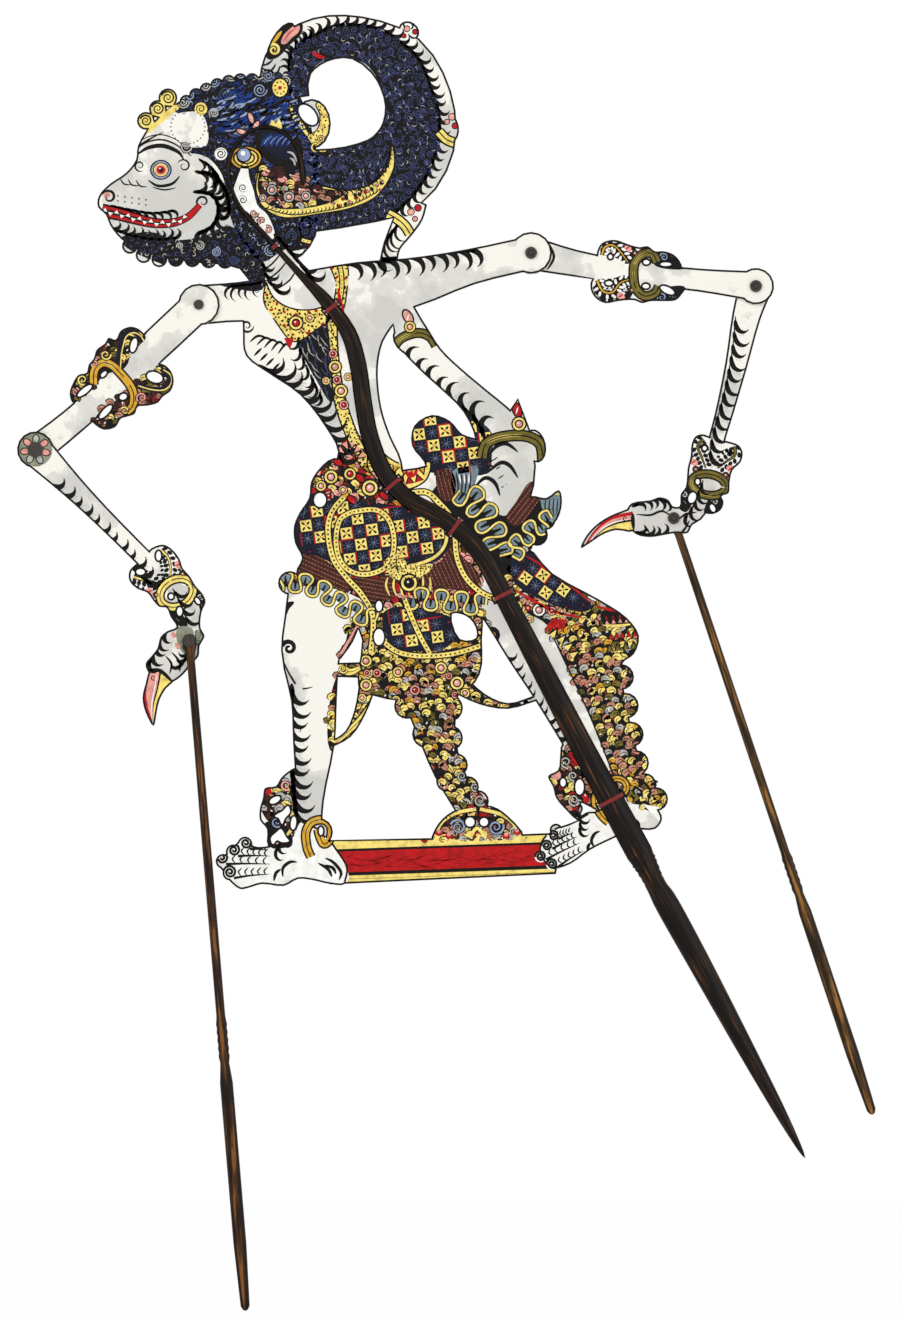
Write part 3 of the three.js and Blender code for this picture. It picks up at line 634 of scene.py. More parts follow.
def rosette(plate, x, y, radius, petals=("gold", "pink"), coat=3.5):
    plate.dot("black", x, y, radius, coat)
    plate.dot(petals[0], x, y, radius * 0.8, coat + 0.4)
    plate.dot("black", x, y, radius * 0.56, coat + 0.8)
    plate.dot(petals[1], x, y, radius * 0.38, coat + 1.2)
    plate.dot("white", x - radius * 0.1, y - radius * 0.1, radius * 0.12, coat + 1.6, sides=6)


def roundels(plate, places, coat):
    """Rosettes of a given tone, with a pink middle, or a red one in pink."""
    for x, y, r, tone in places:
        rosette(plate, x, y, r, (tone, "red" if tone == "pink" else "pink"), coat)


def gilt(plate, shape, spacing, size, seed, width, coat=3.5):
    """Gold leaf with dark specks and a black edge."""
    plate.fill("gold", shape, 2)
    speckle(plate, shape, spacing, size, seed, coat=3)
    edge_line(plate, shape, width, coat)


def curl(plate, colour, x, y, radius, start, turns, width, coat=3.5, edge=True):
    path = spiral(x, y, radius, start, turns, 0.12, 12)
    if edge:
        plate.stroke("black", path, width + 2, coat, taper="tail", smooth=False)
    plate.stroke(colour, path, width, coat + 0.4, taper="tail", smooth=False)


RUFFLE_ROWS = 400


def ruffle(plate, path, width, pitch, coat=3):
    """A gathered frill: a gold-edged ribbon that doubles back along the path in even loops."""
    rows = walk(path, RUFFLE_ROWS)
    length = length_of(spline(path))
    halves = 2 * max(round(length / pitch), 1)
    steps = 12

    def at(phase, share=1.0):
        run = phase / halves - 0.2 / halves * 2 * math.sin(2 * math.pi * phase)
        (x, y), (tx, ty) = rows[min(max(int(run * RUFFLE_ROWS), 0), RUFFLE_ROWS - 1)]
        out = width * share * math.sin(math.pi * phase)
        return (x - ty * out, y + tx * out)

    for m in range(halves):
        edge = [at(m + k / steps) for k in range(steps + 1)]
        lift = coat + (0.2 if m % 2 else 0)
        plate.patch("black", edge, lift)
        middle = at(m + 0.5, 0.62)
        plate.patch("frill", [(middle[0] + (x - middle[0]) * 0.9, middle[1] + (y - middle[1]) * 0.9)
                              for x, y in edge], lift + 0.5)
        (ax, ay), (bx, by) = at(m + 0.5, 0), at(m + 0.5, 0.66)
        plate.stroke("black", [(ax, ay), ((ax + bx) / 2, (ay + by) / 2), (bx, by)], width * 0.3, lift + 1,
                     taper="tail")
        for share, tone in ((0.36, "white"), (0.64, "navy")):
            (cx, cy), (dx, dy) = at(m + share, 0.34), at(m + share, 0.78)
            plate.stroke(tone, [(cx, cy), (dx, dy)], 1.2, lift + 1, smooth=False)
    for m in range(halves):
        edge = [at(m + k / steps) for k in range(steps + 1)]
        plate.stroke("black", edge, 4.2, coat + 1.6, taper="none", smooth=False)
        plate.stroke("gold", edge, 2, coat + 2, taper="none", smooth=False)


def leaves(plate, path, height, count, colour, coat=3, side=1):
    """A row of pointed leaves standing on a line."""
    step = length_of(spline(path)) / count
    for (x, y), (tx, ty) in walk(path, count):
        nx, ny = -ty * side, tx * side
        for tone, share, lift in (("black", 1, 0), (colour, 0.66, 0.5)):
            half = step * 0.5 * share
            plate.patch(tone, [(x - tx * half, y - ty * half),
                               (x + nx * height * share, y + ny * height * share),
                               (x + tx * half, y + ty * half)], coat + lift)


def checks(plate, outline, cell, degrees, origin, coat=1):
    """Woven checks: navy squares with a pale star, and yellow ones with four small petals."""
    shape = spline(outline, closed=True)
    plate.fill("navy", shape, coat, smooth=False)
    c, s = math.cos(math.radians(degrees)), math.sin(math.radians(degrees))
    reach = 16
    corners = ((-1, -1), (1, -1), (1, 1), (-1, 1))
    for i in range(-reach, reach):
        for j in range(-reach, reach):
            u, v = (i + 0.5) * cell, (j + 0.5) * cell
            x, y = origin[0] + u * c - v * s, origin[1] + u * s + v * c

            def at(a, b):
                return (x + (a * c - b * s) * cell, y + (a * s + b * c) * cell)

            held = [inside(at(a * 0.44, b * 0.44), shape) for a, b in corners]
            if not any(held) or (not all(held) and not inside((x, y), shape)):
                continue
            if (i + j) % 2:
                if all(held):
                    plate.patch("gold", [at(a * 0.43, b * 0.43) for a, b in corners], coat + 1)
                for a, b in corners:
                    plate.dot("black", *at(a * 0.19, b * 0.19), cell * 0.17, coat + 1.5, cell * 0.09,
                              degrees + 45 * a * b, sides=6)
                plate.dot("red", x, y, cell * 0.07, coat + 1.8, sides=5)
            else:
                for a in (20, 65, 110, 155):
                    dx, dy = math.cos(math.radians(a)) * 0.42, math.sin(math.radians(a)) * 0.42
                    plate.stroke("pale_blue", [at(-dx, -dy), at(dx, dy)], 1.3, coat + 1, smooth=False)
            if (i + 2 * j) % 4 < 2 and all(held):
                plate.stroke("red", [at(-0.5, -0.5), at(-0.5, 0.5)], 1.1, coat + 2, taper="none")
                if j % 2:
                    plate.stroke("red", [at(-0.5, -0.5), at(0.5, -0.5)], 1.1, coat + 2, taper="none")


def comma(plate, colour, x, y, size, degrees, way, coat):
    """One hooked leaf with a dark vein."""
    path = spiral(x, y, size * 0.5, degrees, 0.5 * way, 0.5, 12)
    plate.stroke("black", path, size * 0.66 + 2.4, coat, taper="leaf", smooth=False)
    plate.stroke(colour, path, size * 0.66, coat + 0.15, taper="leaf", smooth=False)
    plate.stroke("black", path[1:], max(size * 0.08, 0.9), coat + 0.3, smooth=False)


LEAF_COLOURS = ("gold", "gold", "gold", "tan", "ochre", "tan", "olive", "shade")


def scrollwork(plate, outline, spacing, seed, colours=LEAF_COLOURS, coat=1, degrees=90):
    """Dense leafwork: staggered rows of hooked leaves on a black ground."""
    rng = random.Random(seed)
    shape = spline(outline, closed=True)
    plate.fill("black", outline, coat)
    for i, (x, y) in enumerate(scatter(shape, spacing, rng)):
        way = 1 if i % 2 else -1
        level = round(x / spacing) % 2 + 2 * (round(y / spacing / ROW_PITCH) % 2)
        comma(plate, rng.choice(colours), x, y, spacing * rng.uniform(1.0, 1.25),
              degrees + 90 * way + rng.uniform(-40, 40), way, coat + 0.35 + 0.35 * level)
    for x, y in scatter(shape, spacing * 1.3, rng):
        a = rng.uniform(0, 6.28)
        tone = rng.choice(("white", "red", "black"))
        plate.stroke(tone, [(x, y), (x + 2.6 * math.cos(a), y + 2.6 * math.sin(a))], 1.3, coat + 1.9)


def pleats(plate, outline, degrees, spacing, coat=1):
    """Narrow gathered folds: pink dashes on brown, with dark lines between."""
    shape = spline(outline, closed=True)
    plate.fill("brown", outline, coat)
    c, s = math.cos(math.radians(degrees)), math.sin(math.radians(degrees))
    xs, ys = [p[0] for p in shape], [p[1] for p in shape]
    mx, my = (min(xs) + max(xs)) / 2, (min(ys) + max(ys)) / 2
    reach = math.hypot(max(xs) - min(xs), max(ys) - min(ys)) / 2
    dash = 3.4
    rows, marks = int(reach / spacing) + 1, int(reach / dash) + 1
    for i in range(-rows, rows + 1):
        for k in range(-marks, marks + 1):
            u, v = (k + (0.5 if i % 2 else 0)) * dash, i * spacing
            a = (mx + u * c - v * s, my + u * s + v * c)
            b = (a[0] + dash * 0.7 * c, a[1] + dash * 0.7 * s)
            if inside(a, shape) and inside(b, shape):
                plate.stroke("tan", [a, b], spacing * 0.62, coat + 1, smooth=False)


body = Plate("body_plate", "root")
front_upper = Plate("front_upper_arm", "front_upper_arm")
front_fore = Plate("front_forearm", "front_forearm")
back_upper = Plate("back_upper_arm", "back_upper_arm")
back_fore = Plate("back_forearm", "back_forearm")
plates = (body, front_upper, front_fore, back_upper, back_fore)

HAIR_COLOURS = ["violet", "slate", "slate", "violet"]

CREST = [
    (288, 72), (290, 60), (297, 48), (308, 40), (318, 34), (330, 28), (345, 25), (360, 26), (378, 29),
    (392, 36), (402, 44), (412, 52), (420, 62), (427, 78), (433, 95), (438, 112), (439, 130), (436, 150),
    (428, 172), (418, 188), (405, 203), (392, 214), (370, 224), (345, 231), (318, 238), (300, 236),
    (300, 190), (305, 160), (318, 152), (340, 148), (365, 140), (380, 120), (382, 95), (378, 80), (365, 64),
    (345, 58), (322, 62), (310, 75), (313, 97), (300, 98), (290, 95),
]
CREST_EDGE = CREST[1:26]

HEAD_HAIR = [
    (174, 112), (184, 94), (202, 80), (220, 68), (246, 64), (268, 70), (292, 82), (306, 108), (312, 130),
    (318, 160), (318, 236), (300, 250), (284, 250), (262, 262), (244, 244), (232, 222), (228, 200),
    (222, 175), (208, 158), (188, 152), (182, 147), (206, 146), (207, 125), (198, 112),
]
BEARD = [(150, 232), (176, 240), (204, 236), (230, 226), (250, 246), (262, 262), (262, 290), (222, 286),
         (190, 274), (156, 262), (130, 250), (120, 238)]


def crest():
    body.fill("black", CREST, 1)
    curls(body, CREST, 5.2, 3.1, HAIR_COLOURS, 3, 0.95, 2, 0.42)
    curls(body, CREST, 11, 4.6, ["violet", "slate"], 4, 0.85, 2.4, 1.9)
    curls(body, CREST, 8, 3, ["pale_blue", "black", "shade", "black"], 5, 0.8, 2.8, 0.4)
    for i, ((x, y), (tx, ty)) in enumerate(walk(CREST_EDGE, 46)):
        cx, cy = x - ty * 5, y + tx * 5
        body.dot("black", cx, cy, 4.6, 2.4, sides=9)
        swirl(body, HAIR_COLOURS[i % 4], cx, cy, 3.8, i * 50, 1.7, 0.12, 0.9, 3, steps=10)
    fur(body, CREST_EDGE, 48, 11, -1, 4.4, 2, wisps=False)
    body.stroke("red", [(312, 52), (318, 56), (325, 58)], 4, 3.4)
    # The rolled tip: a striped white band, a gold curl and a pink leaf
    fur(body, [(292, 78), (289, 66), (292, 54), (301, 44), (312, 36)], 9, 9, -1, 3.4, 2, wisps=False)
    lines(body, "black", [[(262, 66), (268, 64), (273, 60)], [(266, 73), (272, 70), (276, 64)],
                          [(274, 77), (278, 72), (280, 66)]], 2.2)
    leaf = [(281, 43), (284, 35), (290, 29), (296, 25), (300, 27), (298, 33), (292, 38), (286, 44)]
    body.fill("black", [(265, 54), (268, 42), (276, 32), (286, 25), (298, 21), (303, 26), (300, 36),
                        (290, 45), (280, 56), (270, 60)], 2.4)
    body.fill("pink", leaf, 3)
    body.stroke("red", [(283, 42), (289, 34), (296, 28)], 1.2, 3.6)
    body.fill("ochre", [(269, 43), (275, 36), (282, 31), (279, 38), (274, 43)], 3)
    curl(body, "gold", 274, 50, 6.4, 200, 1.6, 3, 3.2, False)
    # The small ornaments along the outer band
    body.fill("white", [(396, 26), (400, 16), (408, 18), (418, 26), (424, 36), (414, 44), (402, 38)], 2)
    lines(body, "black", [[(399, 18), (403, 23), (405, 30)], [(408, 34), (412, 38), (418, 38)],
                          [(410, 22), (413, 26), (411, 30)]], 2)
    for x, y, r, tone in ((407, 29, 2.6, "pink"), (415, 32, 2.2, "red"), (419, 37, 2, "pink"),
                          (404, 36, 1.8, "red"), (452, 117, 3, "pink"), (455, 126, 2.6, "red"),
                          (447, 122, 2.2, "pink"), (418, 208, 3, "red"), (411, 212, 3, "pink"),
                          (415, 219, 2.2, "pink")):
        body.dot("black", x, y, r + 1, 3, sides=9)
        body.dot(tone, x, y, r, 3.5, sides=9)
    for path in ([(439, 132), (447, 140), (458, 144)], [(388, 214), (397, 219), (405, 226), (410, 234)]):
        band(body, path, 8, "gold")
    fur(body, [(398, 224), (386, 240), (376, 260)], 6, 18, -1, 3, wisps=False)
    crescent = [(288, 100), (296, 112), (304, 124), (310, 134), (318, 128), (320, 115), (316, 105),
                (322, 100), (330, 118), (331, 140), (326, 152), (316, 150), (306, 136), (292, 118)]
    gilt(body, crescent, 4.2, 1.2, 71, 1.2, 3.4)
    rosette(body, 321, 139, 4)
    curl(body, "gold", 316, 147, 5, 90, 1.4, 1.6, 4)


def head():
    for shape, seed, tones in ((HEAD_HAIR, 11, ["violet", "deep_blue", "slate", "pale_blue"]),
                               (BEARD, 13, ["slate", "violet", "shade", "slate"])):
        body.fill("black", shape, 1)
        curls(body, shape, 5.6, 2.4, tones, seed, 0.9, 2)
    edge = [(180, 106), (194, 92), (210, 84), (228, 76), (248, 74), (270, 76), (290, 84)]
    hair_rolls(body, [(x, y, 6) for (x, y), _ in walk(edge, 13)], ["shade", "pale_blue", "slate"], 1.2, 2.6)
    hair_rolls(body, [(260, 90, 7), (226, 94, 7), (214, 113, 5), (296, 150, 6), (306, 170, 6), (302, 205, 6),
                      (270, 250, 6), (292, 236, 6), (200, 246, 5), (216, 252, 5), (234, 260, 5),
                      (180, 246, 4)], ["pale_blue", "slate", "shade"], 1.1, 2.6)
    dashes(body, [(214, 106), (236, 88), (262, 98), (286, 94), (302, 112), (300, 132), (262, 126),
                  (226, 134)], 5, 11, -28, ["deep_blue", "deep_blue", "pale_blue", "black"], 12, 2.2)
    dashes(body, [(222, 136), (300, 134), (314, 168), (300, 178), (236, 150)], 5.5, 9, 20,
           ["deep_blue", "violet"], 14, 1.6)
    body.dot("gold", 201, 109, 6.4, 3)
    swirl(body, "black", 201, 109, 5.5, 40, 1.8, 0.1, 1.3, 3.5)
    body.dot("white", 221, 154, 6.4, 3)
    swirl(body, "black", 221, 154, 5.5, 200, 2, 0.1, 1.3, 3.5)
    curl(body, "shade", 186, 147, 6, 0, 1.6, 1.6, 3)
    body.fill("gold", [(134, 112), (146, 96), (162, 84), (178, 88), (182, 104), (170, 116), (158, 126),
                       (146, 134), (134, 126)], 2)
    for x, y, r in ((146, 121, 7), (158, 109, 7.5), (168, 98, 8)):
        swirl(body, "black", x, y, r - 1, 200, 2, 0.1, 1.9, 2.6, "tail", steps=14)
    for x, y in ring(188, 127, 17, 17, 0, 26):
        body.dot("black", x, y, 0.8, 2.4, sides=6)


def ear_and_wing():
    body.dot("black", 280, 88, 9.5, 3, 11)
    body.dot("gold", 280, 88, 7.6, 3.5, 9)
    for x, y in ring(280, 88, 5, 6, 0, 9):
        body.dot("black", x, y, 0.9, 4, sides=6)
    body.dot("red", 280, 88, 2, 4)
    body.fill("black", [(257, 133), (270, 128), (288, 130), (301, 141), (303, 158), (298, 170), (282, 170),
                        (266, 160), (256, 148)], 2.8)
    body.fill("navy", [(260, 135), (270, 131), (286, 133), (298, 143), (298, 156), (284, 160), (268, 152)], 3)
    lines(body, "deep_blue", [[(261 + k * 5, 147), (265 + k * 5, 140), (272 + k * 5, 134)] for k in range(6)],
          2.6, 3.4)
    lines(body, "pale_blue", [[(264 + k * 6, 145), (267 + k * 6, 140), (272 + k * 6, 136)] for k in range(5)],
          0.8, 3.8)
    lines(body, "shade", [[(287, 152), (293, 154), (297, 162)], [(290, 158), (294, 161), (295, 166)]], 2.2,
          3.8)
    body.fill("gold", [(270, 127), (272, 120), (276, 124), (279, 119), (282, 128), (276, 130)], 3.6)
    for x, y, tilt in ((251, 118, 70), (242, 132, 20), (256, 126, 120)):
        body.dot("black", x, y, 7, 3, 3.6, tilt)
        body.dot("pink", x, y, 5.4, 3.5, 2.2, tilt)
        body.stroke("white", [(x - 2, y - 2), (x + 2, y + 1)], 1, 4)
    flame = [(243, 162), (237, 178), (233, 190), (233, 200), (240, 208), (250, 215), (262, 232), (272, 240),
             (275, 232), (268, 215), (258, 205), (254, 190), (250, 178), (248, 166)]
    body.fill("white", flame, 3)
    edge_line(body, flame, 1, 4)
    for x, y, start in ((243, 188, 30), (243, 200, 210), (258, 220, 60)):
        swirl(body, "black", x, y, 4.5, start, 1.7, 0.1, 1.1, 4)
    # The ear stud: gold and dark rings round a pearl
    for k, tone in enumerate(("black", "ochre", "black", "gold", "brown", "gold")):
        body.dot(tone, 246, 158, 17 - 1.9 * k, 2.8 + 0.2 * k, 12.5 - 1.5 * k, sides=20)
    body.dot("black", 244, 155, 8, 4)
    body.dot("pale_blue", 244, 155, 6.4, 4.4)
    body.dot("white", 243, 153.5, 2.4, 4.8)
    for x, y, start in ((254, 213, 0), (262, 221, 120), (268, 230, 240)):
        curl(body, "pink", x, y, 4, start, 1.2, 1.6, 4)
    wing = [(258, 172), (272, 184), (285, 190), (300, 188), (320, 186), (345, 190), (372, 184), (388, 165),
            (392, 144), (394, 168), (378, 195), (352, 208), (320, 214), (285, 218), (264, 208), (256, 190)]
    body.fill("gold", wing, 3)
    edge_line(body, wing, 1.6, 4.4)
    scrollwork(body, [(262, 166), (274, 170), (292, 172), (304, 180), (318, 189), (344, 193), (330, 203),
                      (300, 209), (272, 207), (258, 190)], 7, 19, ("pink", "shade", "gold", "brown", "tan"),
               3.2)
    rng = random.Random(19)
    for x, y in scatter([(340, 192), (376, 184), (390, 152), (384, 188), (350, 204), (330, 208)], 5.4, rng):
        comma(body, rng.choice(("black", "pink", "red")), x, y, 3.6, rng.uniform(0, 360), 1, 3.5)
    fur(body, [(318, 188), (345, 191), (370, 184), (384, 168), (390, 150)], 22, 5, 1, 1.6, 4, wisps=False)
    fur(body, [(264, 208), (290, 215), (320, 212), (352, 205), (378, 192)], 30, 4.4, -1, 1.4, 4, wisps=False)
    for x, y, r in ((272, 190, 6), (289, 197, 6.4), (306, 196, 5.4), (263, 198, 4.4)):
        rosette(body, x, y, r, ("shade", "pink"), 5.8)
    for x, y in ((281, 180), (299, 182), (281, 200), (316, 190), (268, 172)):
        body.dot("pink", x, y, 3.4, 4.4, 2.2, 30)


def face():
    # The beast's painted muzzle, closed jaws and ringed eye
    body.stroke("black", [(98, 188), (112, 178), (124, 170), (130, 158), (140, 146), (152, 138), (164, 132)],
                2.6, 3)
    swirl(body, "black", 109, 197, 7, 200, 1.2, 0.3, 2.8, 3, "leaf")
    body.dot("pink", 107, 195, 3.4, 2.6)
    for y, width in ((152, 4.4), (146, 1.8), (141, 1.2)):
        body.stroke("black", [(137, y + 3), (148, y - 4), (163, y - 6), (178, y), (184, y + 8)], width, 3)
    for x, y, r, start in ((140, 166, 6, 60), (184, 166, 7, 200), (192, 152, 4, 90)):
        swirl(body, "black", x, y, r, start, 1.3, 0.2, 1.8, 3, "leaf")
    for tone, r, coat in (("black", 11, 2.4), ("pale_blue", 9.6, 2.8), ("black", 8, 3.2), ("gold", 7, 3.6),
                          ("pink", 5.8, 4), ("red", 4.4, 4.4), ("black", 2.4, 4.8)):
        body.dot(tone, 161, 170, r, coat, r * 0.92, sides=18)
    body.dot("white", 160, 168.6, 0.9, 5.2, sides=6)
    body.stroke("black", [(148, 180), (158, 186), (172, 184), (180, 176)], 3, 3)
    body.stroke("black", [(152, 187), (164, 190), (176, 188)], 1.6, 3)
    mouth = [(102, 211), (118, 214), (136, 219), (154, 223), (172, 223), (188, 217), (200, 205)]
    piped(body, "red", mouth, 11, 4, 3, 0.5, "tail")
    body.stroke("black", mouth[:6], 4.6, 4, taper="tail")
    for i, ((x, y), (tx, ty)) in enumerate(walk(mouth[:6], 15)):
        way = 1 if i % 2 else -1
        body.patch("white", [(x - tx * 2.6, y - ty * 2.6), (x + tx * 2.6, y + ty * 2.6),
                             (x - ty * 3.4 * way, y + tx * 3.4 * way)], 4.4)
    swirl(body, "black", 203, 202, 7, 120, 1.2, 0.2, 2.4, 3, "leaf")
    fur(body, [(112, 206), (132, 210), (154, 213), (176, 210)], 9, 9, 1, 3.4, wisps=False)
    fur(body, [(196, 192), (212, 196), (218, 210), (212, 226), (196, 234)], 9, 12, -1, 5, wisps=False)
    fur(body, [(198, 172), (216, 176), (228, 196), (230, 216)], 8, 13, 1, 4.6, wisps=False)
    fur(body, [(110, 228), (132, 236), (156, 240), (180, 238)], 9, 10, -1, 4)
    fur(body, [(200, 160), (210, 166), (220, 178)], 4, 9, 1, 3.6, wisps=False)
    lines(body, "black", [[(120 + 8 * k, 178 + k), (124 + 8 * k, 184 + k), (131 + 8 * k, 185 + k)]
                          for k in range(3)], 1.6)
    for row in range(2):
        for k in range(5):
            body.dot("black", 118 + k * 7, 196 + row * 5 + k, 0.9, 3, sides=6)


def neck_and_chest():
    zone = [(298, 344), (312, 330), (328, 318), (336, 340), (336, 390), (330, 402), (316, 380), (306, 362)]
    body.fill("black", zone, 1)
    dashes(body, zone, 6.4, 12, 62, ["slate", "shade", "violet"], 21, 0.9, 2)
    fur(body, [(298, 338), (302, 356), (312, 378), (324, 402)], 7, 11, 1, 3.4, wisps=False)
    lines(body, "black", [[(258, 274), (272, 264), (282, 252)], [(264, 282), (278, 272), (288, 260)],
                          [(276, 290), (290, 280), (297, 268)]], 1.8)
    fur(body, [(276, 236), (288, 250), (300, 264), (314, 282)], 6, 14, -1, 5)
    fur(body, [(262, 262), (268, 280), (282, 296)], 4, 12, -1, 4.4)
    collar = [(300, 238), (322, 242), (340, 256), (348, 268), (347, 290), (343, 310), (334, 306), (336, 284),
              (328, 264), (314, 252)]
    pendant = [(266, 282), (274, 298), (290, 308), (310, 310), (332, 306), (330, 320), (316, 330), (302, 340),
               (290, 340), (276, 322), (264, 302)]
    for shape, seed in ((collar, 61), (pendant, 63)):
        gilt(body, shape, 4.6, 1.5, seed, 1.5)
        speckle(body, shape, 12, 2, seed + 1, "red", 3.5)
    beads(body, [(302, 240), (322, 247), (338, 262), (342, 284), (339, 306)], 3, 4, 3.6)
    rosette(body, 296, 323, 8, ("gold", "red"), 4)
    rosette(body, 310, 318, 5, ("gold", "pink"), 4)
    body.stroke("red", [(338, 288), (340, 300), (344, 312)], 3.4, 4.6)
    body.patch("red", [(284, 338), (294, 338), (290, 350)], 4)
    swirl(body, "black", 247, 326, 7, 0, 1.5, 0.15, 2.6, 3, "leaf")
    body.stroke("black", [(240, 334), (242, 350), (252, 362), (262, 370)], 7, 3)
    lines(body, "black", [[(250 + 7 * k, 342 + 3 * k), (258 + 7 * k, 336 + 2 * k), (267 + 6 * k, 338 + 3 * k)]
                          for k in range(5)] + [[(254 + 6 * k, 356 + 5 * k), (262 + 6 * k, 348 + 5 * k)]
                                                for k in range(4)], 2.6)
    strap = [(326, 314), (336, 316), (338, 350), (344, 392), (356, 430), (374, 468), (362, 468), (346, 436),
             (334, 400), (330, 352)]
    gilt(body, strap, 4.4, 1.4, 65, 1.6)
    roundels(body, [(333, 354, 5, "pink"), (335, 367, 7.5, "gold"), (337, 380, 5, "pink"),
                    (341, 391, 7.5, "gold"), (344, 405, 5.4, "pink"), (326, 381, 4.5, "gold"),
                    (348, 377, 4.5, "gold")], 4)
    lines(body, "violet", [[(341 + 3 * k, 322 + 5 * k), (346 + 3 * k, 338 + 5 * k),
                            (350 + 2 * k, 356 + 4 * k)]
                           for k in range(4)], 1.8)


def limbs_fur():
    fur(body, [(292, 688), (290, 720), (291, 760), (294, 800), (297, 832)], 12, 19, -1, 6)
    fur(body, [(500, 650), (512, 680), (528, 706), (544, 726), (558, 742)], 10, 16, -1, 5.4)
    fur(front_fore, [(47, 482), (75, 511), (104, 540), (140, 575), (154, 588)], 12, 16, -1, 6.4, line=0.5)
    fur(back_fore, [(736, 318), (732, 355), (724, 395), (713, 436), (710, 462)], 12, 15, -1, 5, line=0.3)
    fur(body, [(262, 368), (300, 398), (326, 430), (340, 462)], 11, 22, -1, 6)
    fur(body, [(345, 264), (372, 260), (400, 258), (440, 252), (478, 249)], 11, 19, 1, 6)
    fur(body, [(262, 282), (250, 284), (228, 286)], 5, 15, -1, 3)
    fur(body, [(484, 436), (470, 415), (440, 393), (404, 360)], 8, 18, 1, 6)
    tail = [[(488, 456), (497, 446), (507, 444), (518, 452)],
            [(486, 474), (500, 463), (510, 466), (518, 478)],
            [(474, 488), (485, 478), (495, 483), (500, 496)]]
    lines(body, "black", tail, 4.2)
    lines(body, "black", [[(492 + 3 * k, 461 + 9 * k), (498 + 3 * k, 457 + 9 * k)] for k in range(4)], 1.3)
    band(body, [(396, 366), (394, 349), (402, 338), (418, 333), (430, 337), (436, 346)], 7, "olive")
    rosette(body, 410, 327, 6.4)
    band(body, [(482, 458), (486, 444), (502, 437), (525, 436), (540, 444), (543, 462)], 8.6, "olive")
    rosette(body, 519, 424, 8)
    for x, y, tone, tilt in ((408, 317, "pink", 60), (517, 410, "red", 70)):
        body.dot("black", x, y, 9, 3, 5.4, tilt)
        body.dot(tone, x, y, 7.2, 3.5, 3.8, tilt)
        body.stroke("white", [(x - 1, y + 4), (x + 1, y - 3)], 1.4, 4)


